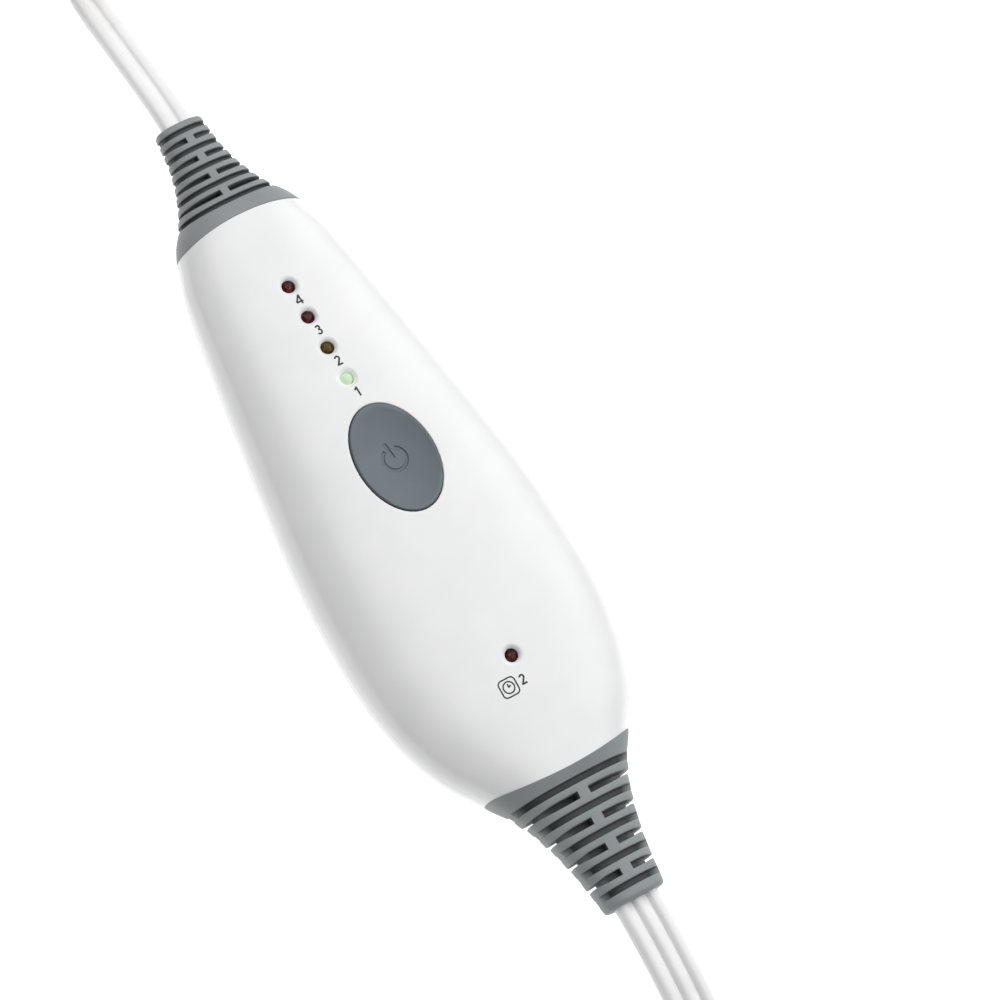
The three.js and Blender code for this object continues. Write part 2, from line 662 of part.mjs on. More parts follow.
// Closed tube of a flat section along points of x, y, z and roll, with both ends square to Y.
function tube(route, section) {
  const at = route.map(([x, y, z]) => new THREE.Vector3(x, y, z));
  const last = route.length - 1;
  const rings = route.map(([, , , roll], i) => {
    const ahead = at[Math.min(i + 1, last)].clone().sub(at[Math.max(i - 1, 0)]);
    if (i === 0 || i === last) ahead.set(0, ahead.y, 0);
    ahead.normalize();
    const level = new THREE.Vector3().crossVectors(ahead, UP).normalize();
    const upright = new THREE.Vector3().crossVectors(level, ahead);
    const angle = THREE.MathUtils.degToRad(roll);
    const across = level.clone().multiplyScalar(Math.cos(angle)).addScaledVector(upright, Math.sin(angle));
    const out = upright.multiplyScalar(Math.cos(angle)).addScaledVector(level, -Math.sin(angle));
    return section.map(([u, v]) => at[i].clone().addScaledVector(across, u).addScaledVector(out, v));
  });
  return { rings, body: loft(rings) };
}

// Section of a flat cord: a crest over each core and a waist between cores, or the crests of the
// outer cores alone.
function flatSection({ width, thickness, waist, cores }, plain = false) {
  const pitch = (width - thickness) / (cores - 1);
  const crests = [];
  for (let core = 0; core < cores; core++) {
    const x = (width - thickness) / 2 - core * pitch;
    if (!plain || core === 0 || core === cores - 1) crests.push([x, thickness / 2]);
    if (!plain && core < cores - 1) crests.push([x - pitch / 2, waist / 2]);
  }
  const under = crests.map(([x, y]) => [-x, -y]);
  return [[width / 2, 0], ...crests, [-width / 2, 0], ...under];
}

// Smooth route through chosen points, on the mains side (way 1) or the pad side (way -1).
function freeRoute(points, way) {
  const curve = new THREE.CatmullRomCurve3(
    points.map(([x, distance, z]) => new THREE.Vector3(x, way * (TIP_Y + distance), z)),
  );
  const spans = points.length - 1;
  return Array.from({ length: spans * SPAN_STEPS + 1 }, (_, i) => {
    const span = Math.min(Math.floor(i / SPAN_STEPS), spans - 1);
    const share = i / SPAN_STEPS - span;
    const roll = points[span][3] + share * (points[span + 1][3] - points[span][3]);
    const { x, y, z } = curve.getPoint(i / (spans * SPAN_STEPS));
    return [x, y, z, roll];
  });
}

// Loops of a hank, the cord on edge: out along one run, round the far fold, back along the other
// run and round the near fold. Its tube starts and ends with one straight cord width.
function hankRoute(hank, flat, way) {
  const near = hank.start + flat.width;
  const base = flat.width / 2 + FLOOR_GAP;
  const route = [];
  const place = (x, distance, z) => route.push([x, way * (TIP_Y + distance), z, 90]);
  const radiusAt = (turn) => hank.fold + hank.step * Math.abs(turn - hank.reverse);
  place(radiusAt(0), hank.start, base);
  const steps = Math.round(hank.turns * LOOP_STEPS);
  for (let i = 0; i <= steps; i++) {
    const turn = i / LOOP_STEPS;
    const radius = radiusAt(turn);
    const quarter = 4 * (turn % 1);
    const share = quarter % 1;
    const side = quarter < 2 ? 1 : -1;
    const climb = THREE.MathUtils.smoothstep(turn, hank.reverse - CLIMB_TURN, hank.reverse + CLIMB_TURN);
    const layer = hank.reverse < hank.turns ? climb * (flat.width + LAYER_GAP) : 0;
    if (Math.floor(quarter) % 2 === 0) {
      const waist = (1 - Math.cos(2 * Math.PI * share)) / 2;
      const run = side > 0 ? share * hank.run : (1 - share) * hank.run;
      const lift = waist * (TIE_THICKNESS + 2 * CLEARANCE);
      place(side * (radius - waist * hank.draw), near + run, base + lift + layer);
    } else {
      const angle = Math.PI * share;
      const middle = side > 0 ? near + hank.run : near;
      place(side * radius * Math.cos(angle), middle + side * radius * Math.sin(angle), base + layer);
    }
  }
  const [x, y, z] = route[route.length - 1];
  route.push([x, y - way * flat.width, z, 90]);
  return route;
}

// Least distance between the points of a hank's skin and those of its other loops.
function leastGap(rings) {
  let least = Infinity;
  rings.forEach((ring, i) => {
    for (const other of rings.slice(i + LOOP_STEPS / 2)) {
      for (const p of ring) for (const q of other) least = Math.min(least, p.distanceToSquared(q));
    }
  });
  return Math.sqrt(least);
}

function routeLength(route) {
  const at = route.map(([x, y, z]) => new THREE.Vector3(x, y, z));
  return at.slice(1).reduce((sum, point, i) => sum + point.distanceTo(at[i]), 0);
}

// Band round the runs of a hank that lie between two places across, at the middle of the runs.
function tie(route, flat, hank, way, sides) {
  const middle = way * (TIP_Y + hank.start + flat.width + hank.run / 2);
  const held = [];
  for (let i = 1; i < route.length; i++) {
    const [before, after] = [route[i - 1], route[i]];
    for (const edge of [middle - TIE_WIDTH / 2, middle, middle + TIE_WIDTH / 2]) {
      const share = (edge - before[1]) / (after[1] - before[1]);
      if (share >= 0 && share <= 1 && sides.includes(Math.sign(before[0]))) {
        held.push(before.map((value, k) => value + share * (after[k] - value)));
      }
    }
  }
  const reach = (axis, room) => {
    const values = held.map((point) => point[axis]);
    return [Math.min(...values) - room, Math.max(...values) + room];
  };
  const around = (room) => [
    reach(0, flat.thickness / 2 + room),
    [middle - TIE_WIDTH / 2, middle + TIE_WIDTH / 2],
    reach(2, flat.width / 2 + room),
  ];
  const inner = around(CLEARANCE);
  inner[1] = [inner[1][0] - OVERCUT, inner[1][1] + OVERCUT];
  return block(...around(CLEARANCE + TIE_THICKNESS)).subtract(block(...inner));
}

// End piece that swells from where the cord enters it, lying along Y.
function endPiece(stations, [x, y, z], way) {
  const rings = stations.map(([distance, half, height]) => {
    const section = { half, crown: height, belly: height };
    const ring = fullRing(section, y - way * (distance + CLEARANCE), 0);
    return ring.map((p) => p.add(new THREE.Vector3(x, 0, z - PART_Z)));
  });
  return loft(rings);
}

function cordAndHank(name, way, flat, points, hank, tailPoints, tiedSides) {
  const route = freeRoute(points, way);
  const loops = hankRoute(hank, flat, way);
  const tail = freeRoute(tailPoints, way);
  const wound = tube(loops, flatSection(flat, true));
  piece(name, tube(route, flatSection(flat)).body, WHITE_CORD);
  piece(`${name}_hank`, wound.body, WHITE_CORD);
  piece(`${name}_tail`, tube(tail, flatSection(flat)).body, WHITE_CORD);
  piece(`${name}_tie`, tie(loops, flat, hank, way, tiedSides), BLACK_PLASTIC);
  const length = [route, loops, tail].reduce((sum, part) => sum + routeLength(part), 0);
  const gap = leastGap(wound.rings);
  console.log(`${name}: ${length.toFixed(0)} mm, least gap in its hank ${gap.toFixed(2)} mm`);
  return tail[tail.length - 1];
}

// Assembly

piece('top_shell', topShell(), WHITE_GLOSS);
piece('bottom_shell', bottomShell(), WHITE_GLOSS);
piece('mains_strain_relief', strainRelief(MAINS_END, 1, MAINS_RELIEF), GREY_RUBBER);
piece('pad_strain_relief', strainRelief(PAD_END, -1, PAD_RELIEF), GREY_RUBBER);

caseScrewPlaces.forEach(([x, y], i) => {
  const end = PART_Z + SCREW_BITE;
  const body = screw(x, y, SCREW_SUNK, SCREW_HEAD_HEIGHT, SCREW_HEAD_RADIUS, end, SCREW_RADIUS);
  piece(`case_screw_${i + 1}`, body, STEEL);
});
BOARD_SCREWS.forEach((standoff, i) => {
  const [headRadius, headHeight] = BOARD_SCREW_HEAD;
  const head = ON_BOARD + headHeight;
  const end = BOARD_UNDER - BOARD_SCREW_BITE;
  const body = screw(...standoffPlaces[standoff], head, headHeight, headRadius, end, BOARD_SCREW_RADIUS);
  piece(`board_screw_${i + 1}`, body, STEEL);
});

const HEAT_LAMPS = [RED_LAMP, RED_LAMP, AMBER_LAMP, GREEN_LAMP];
heatLedPlaces.forEach((y, i) => {
  piece(`heat_led_${i + 1}`, ledBody(y), HEAT_LAMPS[i % HEAT_LAMPS.length]);
  piece(`led_spacer_${i + 1}`, ledSpacer(y), BLACK_PLASTIC);
});
piece('timer_led', ledBody(timerLedPlace), RED_LAMP);
piece('timer_led_spacer', ledSpacer(timerLedPlace), BLACK_PLASTIC);

piece('power_button', powerButton(), GREY_BUTTON);
piece('switch_body', switchBody(), BLACK_PLASTIC);
const plunger = post(0, BUTTON_Y, SWITCH_TOP - PLUNGER_SUNK, PLUNGER_TOP, PLUNGER_RADIUS);
piece('switch_plunger', plunger, BLACK_PLASTIC);

piece('circuit_board', circuitBoard(), BOARD_GREEN);
piece('microcontroller', boardBlock(MICROCONTROLLER), BLACK_PLASTIC);
piece('x_capacitor', boardBlock(X_CAPACITOR), YELLOW_CASE);
piece('triac', boardBlock(TRIAC), BLACK_PLASTIC);
piece('electrolytic_capacitor', boardPost(ELECTROLYTIC), BLUE_SLEEVE);
piece('fuse', boardRoller(FUSE), FUSE_GLASS);
piece('varistor', boardRoller(VARISTOR), BLUE_SLEEVE);
piece('dropper_resistor', boardRoller(RESISTOR), BEIGE_COAT);
wires('mains_wire', MAINS_END, 1, MAINS_FLAT, BOARD_MAINS_TONGUE);
wires('pad_wire', PAD_END, -1, PAD_FLAT, BOARD_PAD_TONGUE);

const plugAt = cordAndHank('mains_cord', 1, MAINS_FLAT, MAINS_ROUTE, MAINS_HANK, MAINS_TAIL, [-1, 1]);
piece('plug_body', endPiece(PLUG_STATIONS, plugAt, 1), WHITE_CORD);
const plugFace = plugAt[1] - PLUG_STATIONS[PLUG_STATIONS.length - 1][0] - 2 * CLEARANCE;
[-1, 1].forEach((side, i) => {
  const x = plugAt[0] + (side * BLADE_PITCH) / 2;
  const [width, thickness, length] = BLADE;
  const across = [x - thickness / 2, x + thickness / 2];
  const high = [plugAt[2] - width / 2, plugAt[2] + width / 2];
  piece(`plug_blade_${i + 1}`, block(across, [plugFace - length, plugFace], high), BRASS);
});

const connectorAt = cordAndHank('pad_cord', -1, PAD_FLAT, PAD_ROUTE, PAD_HANK, PAD_TAIL, [1]);
piece('pad_connector', endPiece(CONNECTOR_STATIONS, connectorAt, -1), WHITE_CORD);
const connectorFace = connectorAt[1] + CONNECTOR_STATIONS[CONNECTOR_STATIONS.length - 1][0] + 2 * CLEARANCE;
[-1, 0, 1].forEach((side, i) => {
  const [radius, length] = CONTACT;
  const contact = new THREE.CylinderGeometry(radius, radius, length, SMALL_SIDES);
  contact.translate(connectorAt[0] + side * CONTACT_PITCH, connectorFace + length / 2, connectorAt[2]);
  piece(`pad_contact_${i + 1}`, solid(contact), BRASS);
});

export default controller;
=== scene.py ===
# %% [markdown]
# A heating pad's hand controller, dressed in Blender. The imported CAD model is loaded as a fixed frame: it
# says where every piece is and how it moves. This lesson gives each piece its finished surface. Sizes are
# written in millimetres, as on a drawing, and turned into Blender's metres where a mesh is made.

# %% Load the frame
from math import acos, asin, copysign, cos, degrees, hypot, pi, radians, sin, sqrt

import bmesh
import bpy
from mathutils import Matrix, Vector
from mathutils.geometry import interpolate_bezier


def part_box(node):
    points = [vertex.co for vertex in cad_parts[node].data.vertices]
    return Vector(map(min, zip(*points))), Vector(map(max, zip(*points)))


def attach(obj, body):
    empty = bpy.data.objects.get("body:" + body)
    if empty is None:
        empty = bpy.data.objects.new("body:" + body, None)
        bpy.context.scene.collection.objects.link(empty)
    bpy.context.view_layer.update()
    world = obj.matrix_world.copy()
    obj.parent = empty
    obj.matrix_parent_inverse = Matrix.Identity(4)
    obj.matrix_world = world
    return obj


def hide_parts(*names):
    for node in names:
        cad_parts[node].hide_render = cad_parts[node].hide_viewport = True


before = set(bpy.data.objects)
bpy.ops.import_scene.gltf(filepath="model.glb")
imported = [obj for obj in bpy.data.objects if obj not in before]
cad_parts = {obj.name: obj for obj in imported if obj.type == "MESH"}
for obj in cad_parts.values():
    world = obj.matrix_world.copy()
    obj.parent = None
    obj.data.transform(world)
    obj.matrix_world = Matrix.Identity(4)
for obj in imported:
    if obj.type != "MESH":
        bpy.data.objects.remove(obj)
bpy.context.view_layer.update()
MM = 0.001

# %% [markdown]
# The camera stands where the photographer stood: over the casing's left side, looking down steeply, and
# rolled so that the controller runs from the upper left to the lower right. A long lens keeps its lines
# nearly parallel, as they are in a product photo. The angles were found by matching the lamps, the button
# and the casing's corners.

# %% Camera
AIM = Vector((18.94, -7.01, 10.0)) * MM
AZIMUTH, ELEVATION, ROLL = (radians(angle) for angle in (-64.7, 66.6, 35.7))
DISTANCE = 1.132
LENS = 200.0
SENSOR = 36.0
CLIP = (0.05, 20.0)


def new_object(name, data):
    thing = bpy.data.objects.new(name, data)
    bpy.context.collection.objects.link(thing)
    return thing


def place_camera():
    """Put the camera on a sphere round the aim, looking in, and roll it about its own axis."""
    level = cos(ELEVATION)
    back = Vector((sin(AZIMUTH) * level, -cos(AZIMUTH) * level, sin(ELEVATION)))
    data = bpy.data.cameras.new("photo_camera")
    data.lens = LENS
    data.sensor_width = SENSOR
    data.clip_start, data.clip_end = CLIP
    camera = new_object("photo_camera", data)
    turn = (-back).to_track_quat("-Z", "Y").to_matrix().to_4x4() @ Matrix.Rotation(ROLL, 4, "Z")
    camera.matrix_world = Matrix.Translation(AIM + back * DISTANCE) @ turn
    bpy.context.scene.camera = camera
    return camera


camera = place_camera()
print("camera at", [round(x, 3) for x in camera.matrix_world.translation])

# %% [markdown]
# Most of the forms here are lofts: a closed section is drawn many times along the piece and a skin is
# laid over the sections. A subdivided box could be pushed into shape instead, but a loft follows a
# formula exactly, so pieces that were moulded to meet do meet. Edges sharper than a set angle stay crisp,
# and the rest shades smoothly.

# %% Lofts and smooth shading
SHARP = radians(32)


def smooth_with_sharp_edges(mesh):
    mesh.shade_smooth()
    mesh.set_sharp_from_angle(angle=SHARP)


def loft(name, rings, ends="flat"):
    """Skin over rings of points in millimetres. Its ends are flat faces, strips between the two halves of a
    ring, or looped, which joins the last ring to the first."""
    count = len(rings[0])
    total = len(rings)
    faces = []
    for r in range(total if ends == "looped" else total - 1):
        near = r * count
        far = (r + 1) % total * count
        faces += [(near + i, near + (i + 1) % count, far + (i + 1) % count, far + i) for i in range(count)]
    for first in (0, (total - 1) * count):
        last = first + count - 1
        if ends == "flat":
            faces.append(tuple(range(first, last + 1)))
        if ends == "strip":
            faces += [(first + i, first + i + 1, last - i - 1, last - i) for i in range(count // 2 - 1)]
    mesh = bpy.data.meshes.new(name)
    mesh.from_pydata([Vector(point) * MM for ring in rings for point in ring], [], faces)
    whole = bmesh.new()
    whole.from_mesh(mesh)
    bmesh.ops.recalc_face_normals(whole, faces=whole.faces)
    whole.to_mesh(mesh)
    whole.free()
    smooth_with_sharp_edges(mesh)
    return new_object(name, mesh)


print("lofts keep edges over", round(degrees(SHARP)), "degrees crisp")

# %% [markdown]
# Holes, recesses and engraved lines are cut with boolean modifiers. They could be modelled into the mesh
# by hand, but a cutter is easier to read and to move. The result is kept as the piece's own mesh and the
# cutters are deleted, so nothing is left that could change later.

# %% Cutting
def cut_away(piece, cutters):
    """Take the cutters out of a piece, keep the result as its mesh, and delete the cutters."""
    for cutter in cutters:
        boolean = piece.modifiers.new(cutter.name, "BOOLEAN")
        boolean.operation = "DIFFERENCE"
        boolean.solver = "EXACT"
        boolean.object = cutter
    carved = bpy.data.meshes.new_from_object(piece.evaluated_get(bpy.context.evaluated_depsgraph_get()))
    piece.modifiers.clear()
    piece.data = carved
    smooth_with_sharp_edges(carved)
    for cutter in cutters:
        bpy.data.objects.remove(cutter)
    return piece


print("cutting by boolean")

# %% [markdown]
# A flat cord is a fixed length of something flexible. Both cords leave their strain reliefs straight,
# sink to the table under their own weight, turn on edge, and end in a hank that is held by a tie, with
# the plug and the pad connector lying on top. A curve with a round bevel can't be flat and can't twist
# from flat to on edge, so each cord is swept by hand: a section is carried along the route and rolled on
# the way. The route is the CAD model's.

# %% Routes of the cords
TIP = 93.2  # from the middle of the controller to the tip of either strain relief
MAINS_FLAT = {"width": 6.9, "thickness": 3.4, "cores": 2, "waist": 2.6, "lobe_power": 2.7}
PAD_FLAT = {"width": 10.2, "thickness": 3.4, "cores": 3, "waist": 1.7, "lobe_power": 2.0}
MAINS_HANK = {
    "start": 88.1, "run": 95, "fold": 20.7, "step": 4.5, "draw": 12, "turns": 4.5, "reverse": 2.125,
}
PAD_HANK = {"start": 87, "run": 57, "fold": 27, "step": 4.1, "draw": 0, "turns": 1.5, "reverse": 1.5}
LOOP_STEPS = 24
CLIMB_TURN = 0.125  # half of the stretch in which a hank climbs a layer, in turns
FLOOR_GAP = 0.1
LAYER_GAP = 0.5
TIE_LIFT = 1.6
ON_EDGE = 90
SOCKET = (0, -2.5, 10, 0)  # the cord's start, inside its strain relief
# Across, distance past the strain relief's tip, height, and roll: 0 degrees lies flat, 90 stands on edge.
MAINS_ROUTE = [
    (0, 0.3, 10, 0), (0, 5, 9.5, 0), (0, 11, 8.3, 0), (0, 18, 6.6, 0), (0, 25, 4.8, 0), (0, 31, 3.3, 0),
    (0.1, 37, 2.7, 6), (1.8, 44.3, 2.75, 20), (7, 53.3, 3.25, 50), (14.4, 59.6, 3.65, 76),
    (22.5, 66.6, 3.6, 90), (28.3, 76.5, 3.55, 90), (30.26, 87.8, 3.55, 90),
]
MAINS_TAIL = [
    (-31.39, 182.8, 10.95, 90), (-31.4, 175.5, 11.3, 90), (-31.1, 166.5, 13.0, 80),
    (-29.6, 157.5, 16.0, 58), (-26.2, 148.5, 18.7, 34), (-20.8, 139.5, 20.0, 14), (-14.2, 130.5, 19.7, 4),
    (-7.9, 121.5, 19.5, 0), (-3.2, 112.5, 20.3, 0), (-0.8, 104.5, 21.3, 0), (0, 98.3, 21.7, 0),
]
PAD_ROUTE = [
    (0, 0.3, 10, 0), (0, 6, 9.6, 0), (0, 13, 8.7, 0), (0, 20, 7.3, 0), (0, 26, 5.8, 0), (0.6, 32, 4.5, 7),
    (2.2, 37.7, 3.8, 18), (7.8, 47.8, 4.3, 48), (16.6, 55.9, 5.1, 74), (25.3, 63.9, 5.2, 90),
    (31.1, 74.7, 5.2, 90), (33.15, 86.7, 5.2, 90),
]
PAD_TAIL = [
    (-27, 143.7, 5.2, 90), (-27, 139, 5.3, 90), (-26, 131.2, 6.0, 82), (-23, 123.9, 7.8, 64),
    (-17.5, 117, 10.6, 40), (-12, 110.1, 13.2, 18), (-9, 102.8, 14.8, 5), (-8, 95, 15.4, 0),
    (-8, 89.6, 15.4, 0),
]


def smoothstep(value, low, high):
    share = min(max((value - low) / (high - low), 0.0), 1.0)
    return share * share * (3 - 2 * share)


def hank_points(hank, flat):
    """Loops of a hank on edge: out along one run, round the far fold, back, and round the near fold."""
    near = hank["start"] + flat["width"]
    layers = hank["reverse"] < hank["turns"]
    points = []
    for i in range(round(hank["turns"] * LOOP_STEPS) + 1):
        turn = i / LOOP_STEPS
        radius = hank["fold"] + hank["step"] * abs(turn - hank["reverse"])
        quarter, share = divmod(4 * (turn % 1), 1)
        side = 1 if quarter < 2 else -1
        climb = smoothstep(turn, hank["reverse"] - CLIMB_TURN, hank["reverse"] + CLIMB_TURN)
        z = flat["width"] / 2 + FLOOR_GAP + layers * climb * (flat["width"] + LAYER_GAP)
        if quarter % 2 == 0:
            waist = (1 - cos(2 * pi * share)) / 2
            run = share if side > 0 else 1 - share
            x = side * (radius - waist * hank["draw"])
            points.append((x, near + run * hank["run"], z + waist * TIE_LIFT, ON_EDGE))
        else:
            angle = pi * share
            middle = near + hank["run"] if side > 0 else near
            y = middle + side * radius * sin(angle)
            points.append((side * radius * cos(angle), y, z, ON_EDGE))
    return points


def whole_route(route, hank, flat, tail, way):
    """Points of a cord from its strain relief to its plug, in the frame of the controller."""
    points = [SOCKET] + route + hank_points(hank, flat) + tail
    return [(x, way * (TIP + distance), z, roll) for x, distance, z, roll in points]


mains_points = whole_route(MAINS_ROUTE, MAINS_HANK, MAINS_FLAT, MAINS_TAIL, 1)
pad_points = whole_route(PAD_ROUTE, PAD_HANK, PAD_FLAT, PAD_TAIL, -1)
print("route points: mains cord", len(mains_points), "pad lead", len(pad_points))

# %% [markdown]
# The chosen points are joined by a centripetal Catmull-Rom spline, which passes through every point and
# doesn't overshoot where they are unevenly spaced. The section is a row of lobes over the cores. A lobe
# is a superellipse, an oval that is squarer than an ellipse as its power grows: on the two-core cord the
# lobes are nearly flat with a fine groove between them, and on the three-core lead they are round.

# %% Sweep the flat cords
CORD_SPAN_STEPS = 6
LOBE_POINTS = 12


def spline_through(points, steps):
    """Places on a spline through points, each with the roll that it has there."""
    places = [Vector(point[:3]) for point in points]
    places = [2 * places[0] - places[1]] + places + [2 * places[-1] - places[-2]]
    samples = []
    for i in range(len(points) - 1):
        before, start, stop, after = places[i:i + 4]
        first, span, last = (sqrt((b - a).length) for a, b in zip(places[i:i + 3], places[i + 1:i + 4]))
        leave = (start - before) / first - (stop - before) / (first + span) + (stop - start) / span
        arrive = (stop - start) / span - (after - start) / (span + last) + (after - stop) / last
        handles = (start + leave * span / 3, stop - arrive * span / 3)
        for k, place in enumerate(interpolate_bezier(start, *handles, stop, steps + 1)[:-1]):
            samples.append((place, points[i][3] + (points[i + 1][3] - points[i][3]) * k / steps))
    return samples + [(places[-2], points[-1][3])]


def oval_point(turn, power):
    """Point of a superellipse of half width and half height 1, with its height taken as positive."""
    across = copysign(abs(cos(turn)) ** (2 / power), cos(turn))
    return across, abs(sin(turn)) ** (2 / power)


def flat_section(flat):
    """Outline of a flat cord: lobes over its cores that meet in grooves."""
    radius = flat["thickness"] / 2
    span = flat["width"] - flat["thickness"]
    pitch = span / (flat["cores"] - 1)
    upper = []
    for core in range(flat["cores"]):
        middle = span / 2 - core * pitch
        for k in range(LOBE_POINTS + (core == flat["cores"] - 1)):
            across, rise = oval_point(pi * k / LOBE_POINTS, flat["lobe_power"])
            u = middle + across * (radius if abs(middle + across) > abs(middle) else pitch / 2)
            v = radius * rise
            upper.append((u, max(v, flat["waist"] / 2) if abs(u) < span / 2 else v))
    lower = [(-u, -v) for u, v in upper[1:-1]]
    return upper + lower


def sweep(name, samples, section, square_ends=True):
    """Carry a section along a route. At roll 0 its long side lies level, at 90 degrees it stands up."""
    rings = []
    last = len(samples) - 1
    for i, (place, roll) in enumerate(samples):
        ahead = samples[min(i + 1, last)][0] - samples[max(i - 1, 0)][0]
        if square_ends and i in (0, last):
            ahead = Vector((0, ahead.y, 0))
        ahead.normalize()
        level = ahead.cross(Vector((0, 0, 1))).normalized()
        upright = level.cross(ahead)
        angle = radians(roll)
        across = level * cos(angle) + upright * sin(angle)
        out = upright * cos(angle) - level * sin(angle)
        rings.append([place + across * u + out * v for u, v in section])
    return loft(name, rings)


mains_samples = spline_through(mains_points, CORD_SPAN_STEPS)
pad_samples = spline_through(pad_points, CORD_SPAN_STEPS)
mains_flex = sweep("mains_flex", mains_samples, flat_section(MAINS_FLAT))
pad_flex = sweep("pad_flex", pad_samples, flat_section(PAD_FLAT))
print("cord faces: mains", len(mains_flex.data.polygons), "pad", len(pad_flex.data.polygons))

# %% [markdown]
# The casing is a teardrop with a domed front. Sculpting could give such a body, but its lines would
# wander. Here every cross-section is a superellipse again, and three smooth curves say how wide, how high
# and how deep it is along the casing. The two ends bulge, so the rows of the mesh bow with them.

# %% Surface of the casing
PART_Z = 10.0  # height of the plane where the two shells meet
MAINS_END = 67.1
PAD_END = -60.9
END_BOW = 1.9
FRONT_POWER = 2.35
BACK_POWER = 3.0
WALL = 2.2
# Share of the length from the mains end, half width, crown over the seam, and belly past the flat back.
CASE_STATIONS = [
    (0.0, 14.9, 7.1, -2.7), (0.06, 17.5, 7.7, -1.6), (0.2, 20.8, 9.5, 0.2), (0.4, 25.0, 11.4, 0.8),
    (0.55, 27.6, 11.8, 1.0), (0.67, 28.4, 11.6, 1.0), (0.78, 28.0, 11.0, 0.8), (0.87, 25.8, 10.2, 0.2),
    (0.94, 22.3, 9.2, -0.8), (1.0, 17.1, 8.0, -2.0),
]


def smooth_curve(stations, column):
    """Smooth curve through one column of a table of stations, running on straight past both ends."""
    last = len(stations) - 1
    slopes = []
    for i in range(last + 1):
        before = stations[max(i - 1, 0)]
        after = stations[min(i + 1, last)]
        slopes.append((after[column] - before[column]) / (after[0] - before[0]))

    def value(at):
        for end in (0, last):
            if (at - stations[end][0]) * (1 if end else -1) >= 0:
                return stations[end][column] + slopes[end] * (at - stations[end][0])
        i = max(k for k in range(last) if stations[k][0] <= at)
        span = stations[i + 1][0] - stations[i][0]
        u = (at - stations[i][0]) / span
        rise = stations[i + 1][column] - stations[i][column]
        bend = (1 - u) * (slopes[i] * span - rise) - u * (slopes[i + 1] * span - rise)
        return stations[i][column] + u * rise + u * (1 - u) * bend

    return value


case_half, case_crown, case_keel = (smooth_curve(CASE_STATIONS, column) for column in (1, 2, 3))


def case_section(y):
    """Half width, crown over the parting plane and belly under it."""
    share = (MAINS_END - y) / (MAINS_END - PAD_END)
    return case_half(share), case_crown(share), PART_Z + case_keel(share)


def front_height(x, y):
    half, crown, _ = case_section(y)
    return PART_Z + crown * (1 - abs(x / half) ** FRONT_POWER) ** (1 / FRONT_POWER)


def end_line(x, end, way):
    """Y of the casing's bowed end at x."""
    half = case_section(end)[0]
    radius = (half ** 2 + END_BOW ** 2) / (2 * END_BOW)
    return end + way * (END_BOW - radius + sqrt(radius ** 2 - x ** 2))


widest = 2 * max(half for _, half, _, _ in CASE_STATIONS)
print("casing", MAINS_END - PAD_END, "mm long, widest", widest, "mm")

# %% [markdown]
# Each shell is a grid over its half of the casing, with a second grid inside it for the wall. The moulds
# meet so well that only a hairline shows between the shells. The back would be cut off square where it is
# flat, and a small soft turn there keeps the edge from looking like a fold in paper.

# %% Front and back shells
SHELL_ROWS = 150
SHELL_COLUMNS = 84
SEAM = 0.07
BACK_TURN = 0.6  # softness of the turn from the sides to the flat back
SETTLE_STEPS = 4


def shell_skin(side, inset):
    """Rows of points over the front (side 1) or the back (side -1), inset from the casing's surface."""
    power = FRONT_POWER if side > 0 else BACK_POWER
    ovals = [oval_point(pi * c / SHELL_COLUMNS, power) for c in range(SHELL_COLUMNS + 1)]
    rows = []
    for r in range(SHELL_ROWS + 1):
        share = r / SHELL_ROWS
        row = []
        for across, rise in ovals:
            y = PAD_END + share * (MAINS_END - PAD_END)
            for _ in range(SETTLE_STEPS):
                half, crown, belly = case_section(y)
                x = (half - inset) * across
                y = (1 - share) * end_line(x, PAD_END, -1) + share * end_line(x, MAINS_END, 1)
            if side > 0:
                z = max(PART_Z + (crown - inset) * rise, PART_Z + SEAM / 2)
            else:
                over_back = PART_Z - (belly - inset) * rise - inset
                z = min(inset + (over_back + hypot(over_back, BACK_TURN)) / 2, PART_Z - SEAM / 2)
            row.append((x, y, z))
        rows.append(row)
    return rows


def shell(name, side):
    rings = [outer + inner[::-1] for outer, inner in zip(shell_skin(side, 0.0), shell_skin(side, WALL))]
    return loft(name, rings, ends="strip")


casing_front = shell("casing_front", 1)
casing_back = shell("casing_back", -1)
print("shells:", len(casing_front.data.polygons), "and", len(casing_back.data.polygons), "faces")

# %% [markdown]
# The front has a soft dish for every lamp, and an oval opening for the button. A turned cutter makes a
# dish. It leans with the surface, so its lip is even all round. The oval cutter follows the dome for the
# same reason. The back has four counterbores for the screws.

# %% Openings of the shells
TURN_SIDES = 40
OVAL_SIDES = 120
LAMP_FIRST = 16.5
LAMP_PITCH = 7.63
HEAT_LAMPS = [MAINS_END - LAMP_FIRST - LAMP_PITCH * i for i in range(4)]
TIMER_LAMP = PAD_END + 22.8
LAMP_DISH = [
    (1.45, -4.0), (1.45, -0.54), (1.55, -0.42), (1.7, -0.29), (1.88, -0.17), (2.06, -0.08), (2.24, -0.02),
    (2.5, 0.05), (2.5, 0.6),
]
BUTTON_Y = 8.4
BUTTON_HALF = (8.5, 12.15)
BUTTON_GAP = 0.18
BUTTON_MOUTH = [(0.0, -0.3), (0.02, -0.16), (0.07, -0.07), (0.15, -0.015), (0.28, 0.05), (0.28, 1.0)]
OPENING_FOOT = PART_Z + 4
SCREW_PLACES = [(-11, 54.9), (11, 54.9), (-14, -48.1), (14, -48.1)]
SCREW_BORE = [(2.8, -1), (2.8, 4.0)]


